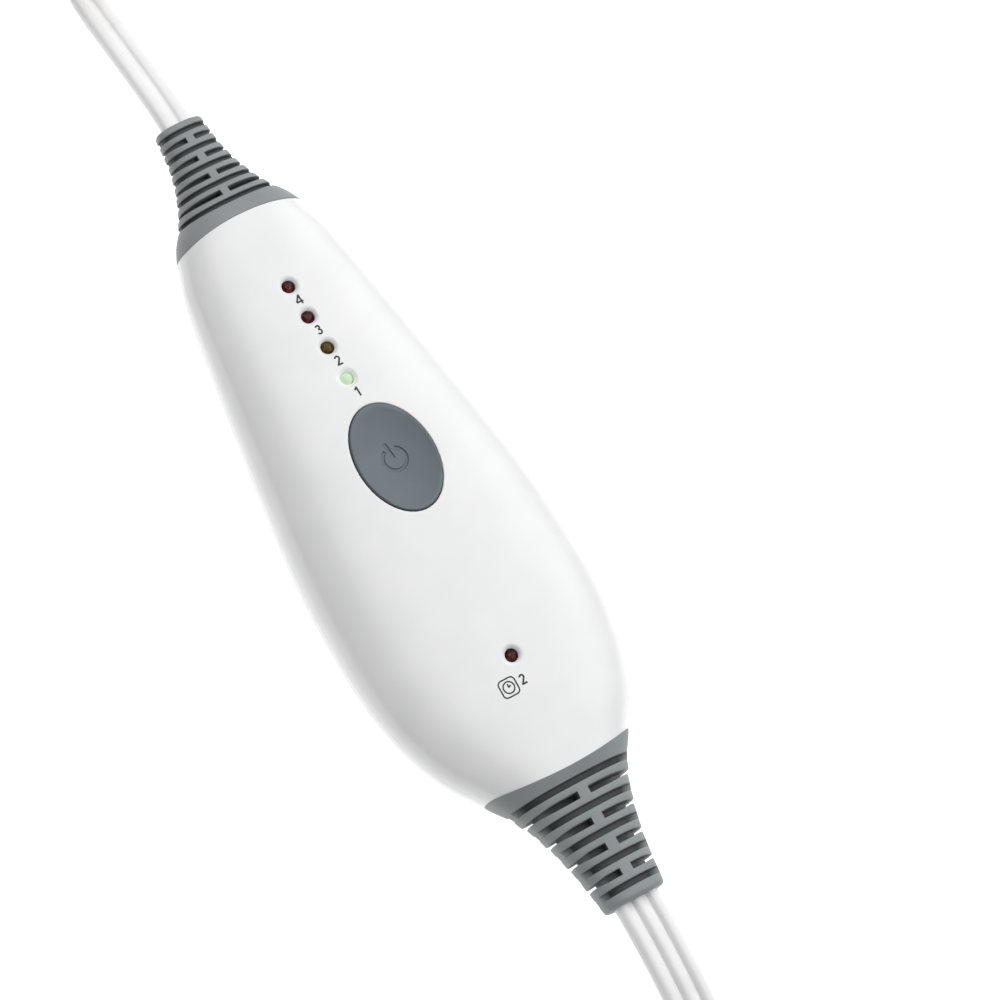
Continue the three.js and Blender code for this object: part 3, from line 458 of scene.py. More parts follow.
def stand_on_front(x, y):
    """Matrix in millimetres whose Z axis leaves the front's surface square at a point."""
    step = 0.05
    slope_x = (front_height(x + step, y) - front_height(x - step, y)) / (2 * step)
    slope_y = (front_height(x, y + step) - front_height(x, y - step)) / (2 * step)
    out = Vector((-slope_x, -slope_y, 1)).normalized()
    across = Vector((1, 0, slope_x)).normalized()
    matrix = Matrix((across, out.cross(across), out)).transposed().to_4x4()
    matrix.translation = (x, y, front_height(x, y))
    return matrix


def oval(half_x, half_y, sides):
    """Points once round an ellipse."""
    turns = [2 * pi * k / sides for k in range(sides)]
    return [(half_x * cos(turn), half_y * sin(turn)) for turn in turns]


def turned(name, profile, place):
    """Piece turned about the Z axis of a matrix, from radii and heights."""
    rings = [[place @ Vector((x, y, h)) for x, y in oval(r, r, TURN_SIDES)] for r, h in profile]
    return loft(name, rings)


def button_ring(grow, lift=None, height=None):
    """Ring of the button's oval, grown all round, lifted off the front's surface or at one height."""
    ring = []
    for x, off in oval(BUTTON_HALF[0] + grow, BUTTON_HALF[1] + grow, OVAL_SIDES):
        y = BUTTON_Y + off
        ring.append((x, y, front_height(x, y) + lift if height is None else height))
    return ring


dishes = [turned("dish", LAMP_DISH, stand_on_front(0, y)) for y in HEAT_LAMPS + [TIMER_LAMP]]
mouth = [button_ring(BUTTON_GAP + widening, lift=lift) for widening, lift in BUTTON_MOUTH]
opening = loft("button_opening", [button_ring(BUTTON_GAP, height=OPENING_FOOT)] + mouth)
cut_away(casing_front, dishes + [opening])
cut_away(casing_back, [turned("bore", SCREW_BORE, Matrix.Translation((x, y, 0))) for x, y in SCREW_PLACES])
print("cut", len(HEAT_LAMPS) + 1, "dishes, one oval and", len(SCREW_PLACES), "counterbores")

# %% [markdown]
# The strain reliefs are soft grey sleeves moulded on the cords. Grooves make them bend easily: long ones
# run across the front and the back, and end at the sides of the pad sleeve or go on shallow round the
# mains sleeve. Between them slots are cut in from both sides, which leaves a bridge along the middle.
# Booleans would leave knife edges, so each sleeve is one skin. Its rings run into and out of every groove
# over a rounded lip, and its columns come in close pairs at the edges of the bridges. The skin also
# remembers how much shade is painted on each point: the grooves are painted darker towards their floors,
# where shade falls, and a slot's painted shade is paler where it opens to the side.

# %% Strain reliefs
MAINS_SLEEVE = {
    "length": 26.1,
    "stations": [(0.12, 13.2, 6.5), (0.26, 10.7, 5.5), (0.47, 8.0, 4.4), (0.7, 6.2, 3.6), (1, 5.3, 3.1)],
    "pitch": 2.26, "groove": 1.05, "depth": 1.1, "tip_to_groove": 2.1, "bridge": 1.8,
    "side_cut": 0.4, "core": 2.0, "pinch": 0.15, "open_sides": 0.2, "side_groove": 0.28,
}
PAD_SLEEVE = {
    "length": 31.0,
    "stations": [(0.17, 13.6, 6.5), (0.37, 10.8, 5.5), (0.65, 8.4, 4.8), (1, 6.8, 4.4)],
    "pitch": 2.89, "groove": 1.4, "depth": 2.0, "tip_to_groove": 3.0, "bridge": 2.6,
    "side_cut": 1.8, "core": 2.2, "pinch": 0.32, "open_sides": 0.7, "side_groove": 0.0,
}
GROOVES = 9
GROOVE_LIP = 0.22
GROOVE_DRAFT = 0.05
SLEEVE_GAP = 0.05  # hairline between the casing and a sleeve
SLEEVE_TIP_ROUND = 0.8
SLEEVE_COLUMNS = 12
CROWN_COLUMNS = 3  # columns of a quarter that lie on the bridge along the crown
LONG_FADE = (2, 5)  # columns from the side over which a long groove deepens
# A slot's darkening is painted shade, paler towards its open side.
SLOT_FADE = (7, 11)  # columns over which a slot darkens from its open side
BRIDGE_EDGE = 0.004  # half of the turn between the two columns at a bridge's edge
PINCH_START = 0.5  # share of the half width where a slot starts to narrow
NECK_INSET = 2.6
NECK_DEPTH = 4.0
SOCKET_GAP = 0.12
SOCKET_WALL = 1.0  # from the floor of the socket to the cord's start
LIP_TURNS = [radians(angle) for angle in (0, 30, 60, 90)]


def lip(radius):
    """Steps round a rounded edge: how far each is from the side, and how far under the top."""
    return [(radius * (1 - sin(turn)), radius * (1 - cos(turn))) for turn in LIP_TURNS]


def quarter_turns(half, height, power, bridge):
    """Turns of a sleeve's columns from the side to the crown, with a close pair at each bridge's edge."""
    side = asin((bridge / 2 / height) ** (power / 2))
    crown = acos((bridge / 2 / half) ** (power / 2))
    between = [side + (crown - side) * k / SLEEVE_COLUMNS for k in range(1, SLEEVE_COLUMNS)]
    near_side = [0.0, side / 2, side - BRIDGE_EDGE, side + BRIDGE_EDGE]
    near_crown = [crown - BRIDGE_EDGE, crown + BRIDGE_EDGE, (crown + pi / 2) / 2, pi / 2]
    return near_side + between + near_crown


def sleeve_ring(sizes, relief, groove=None, share=0.0):
    """Points across a sleeve and the shade painted on each, for a share of a long groove or of a side slot.
    """
    half, front, back = sizes
    ring = []
    for up, height, power in ((1, front, FRONT_POWER), (-1, back, BACK_POWER)):
        turns = quarter_turns(half, height, power, relief["bridge"])
        quarter = []
        for k, turn in enumerate(turns):
            across, rise = oval_point(turn, power)
            wide_cut = high_cut = dark = 0.0
            if groove == "long":
                sunk = share * max(smoothstep(k, *LONG_FADE), relief["side_groove"])
                wide_cut = high_cut = sunk * relief["depth"]
                # A long groove's shade is painted; on the mains sleeve it stays full where the groove runs
                # shallow round the sides.
                dark = share if relief["side_groove"] else sunk
            if groove == "slot" and k < len(turns) - CROWN_COLUMNS:
                wide_cut = share * relief["side_cut"]
                high_cut = share * (height - relief["core"])
                # A slot's painted shade pales towards its open side.
                dark = share * (1 - relief["open_sides"] * (1 - smoothstep(k, *SLOT_FADE)))
            quarter.append(((half - wide_cut) * max(across, 0.0), up * (height - high_cut) * rise, dark))
        whole = quarter + [(-x, z, dark) for x, z, dark in quarter[-2::-1]]
        ring += whole if up > 0 else whole[-2:0:-1]
    return ring


def remember(piece, name, values):
    """Keep a number with every point of a mesh, for a finish to read."""
    piece.data.attributes.new(name, "FLOAT", "POINT").data.foreach_set("value", values)


def sleeve(name, end, way, relief, flat):
    half, crown, belly = case_section(end)
    wide, front, back = (
        smooth_curve([(0, first)] + [(share, sizes[column]) for share, *sizes in relief["stations"]], 1)
        for first, column in ((half, 0), (crown, 1), (belly, 1))
    )
    rings = []
    shades = []

    def add(distance, inset=0.0, lean=0.0, groove=None, share=0.0, pinch=0.0, sizes=None):
        at = max(distance, 0.0) / relief["length"]
        fitted = sizes or (wide(at) - inset, front(at) - inset, back(at) - inset)
        ring = []
        for x, z, dark in sleeve_ring(fitted, relief, groove, share):
            bow = lean * (end_line(min(abs(x), half), end, way) - end)
            narrowing = pinch * smoothstep(abs(x), PINCH_START * fitted[0], fitted[0])
            ring.append((x, end + way * (distance + narrowing) + bow, PART_Z + z))
            shades.append(dark)
        rings.append(ring)

    add(-NECK_DEPTH, inset=NECK_INSET)
    add(SLEEVE_GAP, inset=NECK_INSET, lean=1.0)
    for off, drop in lip(SEAM)[::-1]:
        add(SLEEVE_GAP + off, inset=drop, lean=1.0)
    middles = [relief["length"] - relief["tip_to_groove"] - i * relief["pitch"] for i in range(GROOVES)]
    start = SLEEVE_GAP + SEAM
    first = middles[-1] - relief["groove"] / 2 - GROOVE_LIP
    for k in range(1, SLEEVE_COLUMNS):
        add(start + (first - start) * k / SLEEVE_COLUMNS, lean=1 - k / SLEEVE_COLUMNS)
    wall = [(off, cut / relief["depth"]) for off, cut in lip(GROOVE_LIP)] + [(-GROOVE_DRAFT, 1.0)]
    for i in reversed(range(GROOVES)):
        groove, pinch = ("slot", relief["pinch"]) if i % 2 else ("long", 0.0)
        for side in (-1, 1):
            for off, share in wall[::-side]:
                edge = middles[i] + side * (relief["groove"] / 2 + off)
                add(edge, groove=groove, share=share, pinch=-side * pinch)
    for off, drop in lip(SLEEVE_TIP_ROUND):
        add(relief["length"] - off, inset=drop)
    height = flat["thickness"] / 2 + SOCKET_GAP
    hole = (flat["width"] / 2 + SOCKET_GAP, height, height)
    for depth in (0, SOCKET[1] - SOCKET_WALL):
        add(relief["length"] + depth, sizes=hole)
    piece = loft(name, rings)
    # The skin keeps its painted shade for the finish to read.
    remember(piece, "painted_groove_shade", shades)
    return piece


mains_sleeve = sleeve("mains_sleeve", MAINS_END, 1, MAINS_SLEEVE, MAINS_FLAT)
pad_sleeve = sleeve("pad_sleeve", PAD_END, -1, PAD_SLEEVE, PAD_FLAT)
print("sleeves with", GROOVES, "grooves each:", len(mains_sleeve.data.polygons), "faces")

# %% [markdown]
# The button is a soft oval cap. Its edge follows the dome and stands a little proud of it, and its top is
# dished for the finger, so it is lighter on the side away from the light. A lip under the shell keeps it
# in. The sign for power, a broken ring with a stroke, is pressed into it. It could be a painted line, but
# the photo shows one bright and one dark edge, so it is a real groove: a thin round rod on the surface is
# cut out of the cap.

# %% Power button
BUTTON_PROUD = 0.25
BUTTON_DISH = 1.7
BUTTON_ROUND = 0.3
BUTTON_LIP = 1.5
BUTTON_SKIRT = 16.5  # height of its underside
CAP_RINGS = 16
CAP_REACH = 1 - BUTTON_ROUND / BUTTON_HALF[0]  # share of the oval inside the rounded edge
SIGN_RADIUS = 2.45
SIGN_SPAN = (63, -243)  # angles of the ring's two ends
SIGN_STEPS = 60
SIGN_STROKE = [(0.0, 0.1), (-0.1, 1.0), (-0.2, 2.0), (-0.3, 3.0), (-0.37, 3.7)]
SIGN_ROD = 0.44
SIGN_LIFT = 0.22
ROD_SIDES = 16


def cap_height(x, y):
    share = hypot(x / BUTTON_HALF[0], (y - BUTTON_Y) / BUTTON_HALF[1]) / CAP_REACH
    return front_height(x, y) + BUTTON_PROUD - BUTTON_DISH * (1 - min(share, 1.0) ** 2)


def button_cap(name):
    rings = []
    for k in range(1, CAP_RINGS + 1):
        share = CAP_REACH * k / CAP_RINGS
        flat = [(x * share, BUTTON_Y + (y - BUTTON_Y) * share) for x, y, _ in button_ring(0.0, height=0.0)]
        rings.append([(x, y, cap_height(x, y)) for x, y in flat])
    rings += [button_ring(-off, lift=BUTTON_PROUD - drop) for off, drop in lip(BUTTON_ROUND)[1:]]
    rings += [button_ring(grow, lift=-WALL - BUTTON_GAP) for grow in (0.0, BUTTON_LIP)]
    rings.append(button_ring(BUTTON_LIP, height=BUTTON_SKIRT))
    return loft(name, rings)


def arc(x, y, radius, first, last, steps=16):
    """Points of an arc between two angles in degrees."""
    turns = [radians(first + (last - first) * k / steps) for k in range(steps + 1)]
    return [(x + radius * cos(turn), y + radius * sin(turn)) for turn in turns]


def rod_on_button(name, plan):
    places = [(x, BUTTON_Y + y) for x, y in plan]
    samples = [(Vector((x, y, cap_height(x, y) + SIGN_LIFT)), 0) for x, y in places]
    return sweep(name, samples, oval(SIGN_ROD, SIGN_ROD, ROD_SIDES), square_ends=False)


power_cap = button_cap("power_cap")
broken_ring = arc(0, 0, SIGN_RADIUS, *SIGN_SPAN, steps=SIGN_STEPS)
cut_away(power_cap, [rod_on_button("sign_ring", broken_ring), rod_on_button("sign_stroke", SIGN_STROKE)])
print("button cap", len(power_cap.data.polygons), "faces, rides on the button's body")

# %% [markdown]
# Every lamp is a small lens with a round top, standing in its dish. It is turned like the real one, with
# the flange at its foot that rests on the spacer.

# %% Lamps
LAMP_RADIUS = 1.38
LAMP_FOOT = -6.2  # height of its foot, from the front's surface
LAMP_FLANGE = [(1.9, 0.0), (1.9, 0.8), (1.7, 1.0), (LAMP_RADIUS, 1.0)]
LAMP_SUNK = 0.4
LAMP_DOME = 0.9
DOME_STEPS = 9


def lamp(name, y):
    dome = [pi / 2 * k / DOME_STEPS for k in range(DOME_STEPS)]
    profile = [(radius, LAMP_FOOT + height) for radius, height in LAMP_FLANGE]
    profile += [(LAMP_RADIUS * cos(t), -LAMP_SUNK - LAMP_DOME * (1 - sin(t))) for t in dome]
    return turned(name, profile, Matrix.Translation((0, y, front_height(0, y))))


heat_lenses = [lamp(f"heat_lens_{i + 1}", y) for i, y in enumerate(HEAT_LAMPS)]
timer_lens = lamp("timer_lens", TIMER_LAMP)
print("lamps:", len(heat_lenses), "for the heat and one for the timer")

# %% [markdown]
# Small black marks are printed beside the lamps: plain numbers for the four heat steps, and a clock face
# and the number of its hours for the timer. An image could hold them, but then they would need a texture.
# Blender's own type could give the numbers, but it is too fine at this size. Here all are lines of ink,
# thin solids that are laid on the dome point by point. A corner is two lines that overlap, because a line
# that bends sharply is pinched there.

# %% Printed marks
CORNERS = ((1, 1), (-1, 1), (-1, -1), (1, -1))
CORNER_STEPS = 8
INK = 0.03
HEAT_STEPS = (4, 3, 2, 1)
HOURS = 2
NUMBER_LINE = 0.38
NUMBER_DROP = 4.7  # from a lamp's middle down to the foot of its number
NUMBER_SHIFT = 0.3
CLOCK_PLACE = (-4.0, TIMER_LAMP - 5.5)
HOURS_PLACE = (-0.6, TIMER_LAMP - 6.4)
CLOCK_HALF = 1.85
CLOCK_CORNER = 0.9
CLOCK_RADIUS = 1.2
CLOCK_SIDES = 48
CLOCK_LINE = 0.3
CLOCK_HANDS = [(0.0, 0.8), (0.55, 0.32)]
NUMBER_STROKES = {
    1: [[(0.15, 2.2), (0.15, 0.0)], [(0.2, 2.04), (-0.42, 1.58)]],
    2: [arc(0, 1.58, 0.45, 165, -35) + [(-0.46, 0.19)], [(-0.62, 0.19), (0.64, 0.19)]],
    3: [arc(0, 1.62, 0.4, 155, -100), arc(0, 0.67, 0.48, 100, -155)],
    4: [[(0.26, 2.2), (0.26, 0.0)], [(0.26, 2.1), (-0.8, 0.62)], [(-0.86, 0.6), (0.68, 0.6)]],
}


def join(name, parts):
    """Several closed meshes as one piece."""
    mesh = bpy.data.meshes.new(name)
    whole = bmesh.new()
    for part in parts:
        whole.from_mesh(part.data)
        bpy.data.objects.remove(part)
    whole.to_mesh(mesh)
    whole.free()
    smooth_with_sharp_edges(mesh)
    return new_object(name, mesh)


def on_front(x, y, lift):
    return Vector((x, y, front_height(x, y) + lift))


def printed_line(name, place, plan, width, closed=False):
    """Line of ink through points around a place."""
    rings = []
    last = len(plan) - 1
    for i, point in enumerate(plan):
        before = plan[i - 1] if closed or i else point
        after = plan[(i + 1) % len(plan)] if closed or i < last else point
        ahead = (Vector(after) - Vector(before)).normalized()
        side = Vector((-ahead.y, ahead.x)) * width / 2
        middle = Vector(place) + Vector(point)
        rings.append([on_front(*(middle + side * across), INK * up) for across, up in CORNERS])
    return loft(name, rings, ends="looped" if closed else "flat")


def printed_number(name, number, place):
    return join(name, [printed_line("stroke", place, plan, NUMBER_LINE) for plan in NUMBER_STROKES[number]])


def rounded_rectangle(half_x, half_y, corner):
    """Points round a rectangle with round corners, each with its direction outward."""
    plan = []
    for quarter, (sign_x, sign_y) in enumerate(CORNERS):
        middle = Vector((sign_x * (half_x - corner), sign_y * (half_y - corner)))
        for k in range(CORNER_STEPS + 1):
            turn = pi / 2 * (quarter + k / CORNER_STEPS)
            out = Vector((cos(turn), sin(turn)))
            plan.append((middle + out * corner, out))
    return plan


numbers = [
    printed_number(f"number_{step}", step, (NUMBER_SHIFT, y - NUMBER_DROP))
    for step, y in zip(HEAT_STEPS, HEAT_LAMPS)
]
numbers.append(printed_number("number_of_hours", HOURS, HOURS_PLACE))
clock_frame = [point for point, out in rounded_rectangle(CLOCK_HALF, CLOCK_HALF, CLOCK_CORNER)]
dial = oval(CLOCK_RADIUS, CLOCK_RADIUS, CLOCK_SIDES)
strokes = [printed_line("rim", CLOCK_PLACE, plan, CLOCK_LINE, closed=True) for plan in (clock_frame, dial)]
strokes += [printed_line("hand", CLOCK_PLACE, [(0.0, 0.0), hand], CLOCK_LINE) for hand in CLOCK_HANDS]
clock_mark = join("clock_mark", strokes)
print("printed", len(numbers), "numbers and a clock")

# %% [markdown]
# Four screws hold the shells together from the back. Their heads sit deep in the counterbores, with a
# cross recess for the driver. The head is turned, and two tapered slots are cut out of it.

# %% Case screws
SCREW_HEAD = [(1.2, 15.0), (1.2, 3.8), (2.5, 3.8), (2.5, 2.5), (2.35, 2.25), (2.0, 2.08), (1.2, 2.0)]
SLOT_HALVES = [(1.45, 0.375), (0.375, 1.45)]
SLOT_TAPER = [(1.5, 1.15), (3.1, 0.55)]  # heights, and the slot's size there as a share


def slot_cutter(x, y, half_x, half_y):
    return loft("slot", [
        [(x + u * half_x * share, y + v * half_y * share, z) for u, v in CORNERS] for z, share in SLOT_TAPER
    ])


case_screws = []
for i, (x, y) in enumerate(SCREW_PLACES):
    screw = turned(f"cross_screw_{i + 1}", SCREW_HEAD, Matrix.Translation((x, y, 0)))
    case_screws.append(cut_away(screw, [slot_cutter(x, y, *halves) for halves in SLOT_HALVES]))
print("screws:", len(case_screws))

# %% [markdown]
# The mains plug and the pad connector are moulded on their cords. Each is a loft through a few sizes,
# with a ribbed neck where the cord bends and shallow grip grooves on the body. The sizes are the CAD
# model's.

# %% Plug and connector bodies
PLUG_STATIONS = [
    (0, 4.6, 2.9), (13, 5.6, 3.8), (17, 10.6, 6.2), (28, 11.6, 6.9), (41, 11.0, 6.5), (42, 10.2, 5.8),
]
CONNECTOR_STATIONS = [(0, 6, 2.7), (9, 7, 3.4), (12, 10.4, 4.3), (33, 10.8, 4.6), (34, 10, 3.9)]
END_GAP = 0.3
END_POWER = 2.6
END_SIDES = 72
END_STEP = 0.25
# Grooves round an end piece: first place, pitch, count, width and depth.
PLUG_GROOVES = [(2.2, 2.3, 5, 1.1, 0.7), (23, 2.2, 5, 1.1, 0.35)]
CONNECTOR_GROOVES = [(1.8, 2.1, 4, 1.0, 0.5), (17, 2.2, 5, 1.1, 0.3)]


def groove_depth(distance, grooves):
    depth = 0.0
    for first, pitch, count, width, deep in grooves:
        for i in range(count):
            off = abs(distance - first - i * pitch) / (width / 2)
            if off < 1:
                depth = max(depth, deep * (1 + cos(pi * off)) / 2)
    return depth


def end_body(name, cord_end, way, stations, grooves):
    """Body on the end of a cord, from the place where the cord enters it."""
    x, entry, z, _ = cord_end
    wide, high = (smooth_curve(stations, column) for column in (1, 2))
    length = stations[-1][0]
    section = []
    for turn in (2 * pi * k / END_SIDES for k in range(END_SIDES)):
        across, rise = oval_point(turn, END_POWER)
        section.append((across, copysign(rise, sin(turn))))
    rings = []
    for k in range(round(length / END_STEP) + 1):
        distance = min(k * END_STEP, length)
        inset = groove_depth(distance, grooves)
        half = wide(distance) - inset
        height = high(distance) - inset
        y = entry - way * (distance + END_GAP)
        rings.append([(x + half * across, y, z + height * rise) for across, rise in section])
    return loft(name, rings)


plug = end_body("mains_plug", mains_points[-1], 1, PLUG_STATIONS, PLUG_GROOVES)
connector = end_body("lead_connector", pad_points[-1], -1, CONNECTOR_STATIONS, CONNECTOR_GROOVES)
print("plug", len(plug.data.polygons), "faces, connector", len(connector.data.polygons))

# %% [markdown]
# The plug's blades are stamped from sheet: flat, with rounded tips and a small hole. The connector's
# contacts are round pins. Both stand where the CAD model has them, so their boxes are read from the
# frame.

# %% Blades and contacts
BLADE_TIP = [(0.0, 1.6), (0.5, 0.8), (1.4, 0.2), (2.4, 0.0)]  # distances from the tip, and insets there
BLADE_BEVEL = 0.45
BLADE_HOLE = 1.6
BLADE_HOLE_FROM_TIP = 4.0
PIN_ROUND = [(1.1, 0.0), (1.1, 7.0), (1.0, 7.4), (0.75, 7.75), (0.35, 7.97)]


def box_of(node):
    """Low corner, high corner, middle and half size of a CAD node, in millimetres."""
    low, high = (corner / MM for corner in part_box(node))
    return low, high, (low + high) / 2, (high - low) / 2


def blade(name, node):
    low, high, middle, half = box_of(node)
    rings = []
    for y, inset in [(low.y + along, inset) for along, inset in BLADE_TIP] + [(high.y, 0.0)]:
        thin = half.x - min(inset, BLADE_BEVEL)
        tall = half.z - inset
        rings.append([(middle.x + u * thin, y, middle.z + v * tall) for u, v in CORNERS])
    place = Matrix.Translation((middle.x, low.y + BLADE_HOLE_FROM_TIP, middle.z))
    across = place @ Matrix.Rotation(pi / 2, 4, "Y")
    hole = turned("hole", [(BLADE_HOLE, -2 * half.x), (BLADE_HOLE, 2 * half.x)], across)
    return cut_away(loft(name, rings), [hole])


def contact(name, node):
    low, _, middle, _ = box_of(node)
    along = Matrix.Translation((middle.x, low.y, middle.z)) @ Matrix.Rotation(-pi / 2, 4, "X")
    return turned(name, PIN_ROUND, along)


blades = [blade(f"blade_{i}", f"plug_blade_{i}") for i in (1, 2)]
contacts = [contact(f"contact_{i}", f"pad_contact_{i}") for i in (1, 2, 3)]
print("blades", len(blades), "contacts", len(contacts))

# %% [markdown]
# A flat strap ties each hank. It is a rounded section carried round a rounded rectangle, looped into
# itself.

# %% Ties
TIE_THICKNESS = 1.0
TIE_EDGE = 0.35
TIE_CORNER = 2.2


def tie(name, node):
    _, _, middle, half = box_of(node)
    inner = half.y - TIE_EDGE
    outside = [(half.y, -TIE_EDGE), (inner, 0), (-inner, 0), (-half.y, -TIE_EDGE)]
    section = outside + [(y, -TIE_THICKNESS - depth) for y, depth in outside[::-1]]
    rings = []
    for point, out in rounded_rectangle(half.x, half.z, TIE_CORNER):
        spots = [(point + out * depth, y) for y, depth in section]
        rings.append([middle + Vector((spot.x, y, spot.y)) for spot, y in spots])
    return loft(name, rings, ends="looped")


mains_tie = tie("mains_strap", "mains_cord_tie")
pad_tie = tie("pad_strap", "pad_cord_tie")
print("ties", round(mains_tie.dimensions.x / MM), "and", round(pad_tie.dimensions.x / MM), "mm wide")

# %% [markdown]
# Every piece rides on a body of the frame, and says which CAD node it stands for and which finish it has.
# The button is the only moving body.

# %% Bodies and nodes
RIDES = [
    (casing_front, "controller", "casing_white", ["top_shell"]),
    (casing_back, "controller", "casing_white", ["bottom_shell"]),
    (mains_sleeve, "controller", "relief_grey", ["mains_strain_relief"]),
    (pad_sleeve, "controller", "relief_grey", ["pad_strain_relief"]),
    (power_cap, "button", "button_grey", ["power_button"]),
    (timer_lens, "controller", "lamp_red", ["timer_led"]),
    (clock_mark, "controller", "black_plastic", []),
    (plug, "controller", "cord_white", ["plug_body"]),
    (connector, "controller", "cord_white", ["pad_connector"]),
    (mains_tie, "controller", "black_plastic", ["mains_cord_tie"]),
    (pad_tie, "controller", "black_plastic", ["pad_cord_tie"]),
    (mains_flex, "controller", "cord_white", ["mains_cord", "mains_cord_hank", "mains_cord_tail"]),
    (pad_flex, "controller", "cord_white", ["pad_cord", "pad_cord_hank", "pad_cord_tail"]),
]
LAMP_SLOTS = ["lamp_red", "lamp_red", "lamp_amber", "lamp_green"]
RIDES += [(lens, "controller", LAMP_SLOTS[i], [f"heat_led_{i + 1}"]) for i, lens in enumerate(heat_lenses)]
RIDES += [(number, "controller", "black_plastic", []) for number in numbers]
for pieces, finish, node in (
    (case_screws, "steel", "case_screw"),
    (blades, "brass", "plug_blade"),
    (contacts, "brass", "pad_contact"),
):
    RIDES += [(piece, "controller", finish, [f"{node}_{i + 1}"]) for i, piece in enumerate(pieces)]
for piece, body, finish, nodes in RIDES:
    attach(piece, body)
    if nodes:
        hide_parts(*nodes)
print("pieces on the button:", [piece.name for piece, body, _, _ in RIDES if body == "button"])

# %% [markdown]
# The photo shows only a short end of each cord, so their lengths come from what such controllers
# have: about 1.8 m to the mains and a short lead to the pad.

# %% [markdown]
# Materials are built from nodes. A finish starts as Blender's Principled shader with its plain values set
# on its own sockets, and noise then varies what really varies: a slight mottle in the colour, patches of
# more or less gloss, and a fine grain as bump. The noise uses the object's coordinates, so its size is
# real.

# %% A finish and its node chains
MOTTLE = 9.0
GLOSS_PATCH = 4.0
NOISE_MIDDLE = (0.3, 0.7)  # values between which nearly all of a noise lies


class Chain:
    """A tree of shader nodes, and the steps that add to it."""

    def __init__(self, tree):
        self.tree = tree

    def put(self, value, socket):
        """Link an output to a socket, or set a plain value on it."""
        if isinstance(value, bpy.types.NodeSocket):
            self.tree.links.new(value, socket)
        else:
            socket.default_value = value

    def node(self, kind, sockets, **settings):
        """Outputs of a new node, with its settings and with what goes into its sockets."""
        node = self.tree.nodes.new(kind)
        for setting, value in settings.items():
            setattr(node, setting, value)
        for socket, value in sockets.items():
            self.put(value, node.inputs[socket])
        return node.outputs

    def ramp(self, share, ends, colours, interpolation="LINEAR"):
        """Colour that runs from the first to the second between two values of a share."""
        ramp = self.tree.nodes.new("ShaderNodeValToRGB")
        ramp.color_ramp.interpolation = interpolation
        for element, position, colour in zip(ramp.color_ramp.elements, ends, colours):
            element.position = position
            element.color = (*colour, 1)
        self.put(share, ramp.inputs["Fac"])
        return ramp.outputs["Color"]


class Finish(Chain):
    """A Principled material, and the few chains of nodes that a moulded surface needs."""

    def __init__(self, name, **sockets):
        self.material = bpy.data.materials.new(name)
        self.material.use_nodes = True
        super().__init__(self.material.node_tree)
        self.inputs = self.tree.nodes["Principled BSDF"].inputs
        for socket, value in sockets.items():
            self.put(value, self.inputs[socket.replace("_", " ")])

    def place(self, kind="Object"):
        return self.node("ShaderNodeTexCoord", {})[kind]

    def noise(self, size, detail=3.0, stretch=(1, 1, 1)):
        """Noise with spots of a size in millimetres, drawn out along an axis by a stretch under 1."""
        scale = [share / (size * MM) for share in stretch]
        scaled = self.node("ShaderNodeMapping", {"Vector": self.place(), "Scale": scale})["Vector"]
        return self.node("ShaderNodeTexNoise", {"Vector": scaled, "Scale": 1.0, "Detail": detail})["Fac"]

    def colour(self, share, dark, light, socket="Base Color", ends=(0.35, 0.65)):
        self.put(self.ramp(share, ends, (dark, light)), self.inputs[socket])

    def roughness(self, share, low, high):
        limits = zip(("From Min", "From Max", "To Min", "To Max"), (*NOISE_MIDDLE, low, high))
        spread = self.node("ShaderNodeMapRange", {"Value": share, **dict(limits)})
        self.put(spread["Result"], self.inputs["Roughness"])

    def grain(self, share, depth):
        """Bump of a depth in millimetres."""
        bump = self.node("ShaderNodeBump", {"Height": share, "Strength": 1.0, "Distance": depth * MM})
        self.put(bump["Normal"], self.inputs["Normal"])


def moulded(name, dark, light, rough, grain, **sockets):
    """Moulded plastic or rubber: two colours of a broad mottle, a range of roughness in patches, and a grain
    of a size and a depth."""
    finish = Finish(name, **sockets)
    size, depth = grain
    finish.colour(finish.noise(MOTTLE), dark, light)
    finish.roughness(finish.noise(GLOSS_PATCH), *rough)
    finish.grain(finish.noise(size, detail=2.0), depth)
    return finish


def paint(finish, *pieces):
    for piece in pieces:
        piece.data.materials.clear()
        piece.data.materials.append(finish.material)


print("finish helper ready")

# %% [markdown]
# The casing is glossy white plastic with a hint of the waviness that a moulding has. The lit lamp throws
# a pale green light on its dish. A small light there would do it in this scene alone, so the casing's
# mesh remembers how near to the lamp each point lies, and glows a little there. The sleeves are soft
# rubber, nearly matt. The button is matt too, in a bluer and darker grey.

# %% Casing, sleeves and button
LIT_LAMP = on_front(0, HEAT_LAMPS[3], 0)
LIT_REACH = (1.4, 2.4)  # distances from the lit lamp where its light on the casing starts to fade and ends
DISH_GLOW = (0.12, 0.18, 0.11)


def rubber_with_painted_shade(name, dark, light, rough, grain, deep):
    """Rubber with shade painted into its grooves, as much as the sleeve's skin remembers at each point."""
    finish = moulded(name, dark, light, rough, grain)
    colour = finish.inputs["Base Color"]
    # The painted shade darkens the rubber towards the groove colour.
    shade = finish.node("ShaderNodeAttribute", {}, attribute_name="painted_groove_shade")["Fac"]
    mixed = {"Factor": shade, "A": colour.links[0].from_socket, "B": (*deep, 1)}
    finish.put(finish.node("ShaderNodeMix", mixed, data_type="RGBA")["Result"], colour)
    return finish


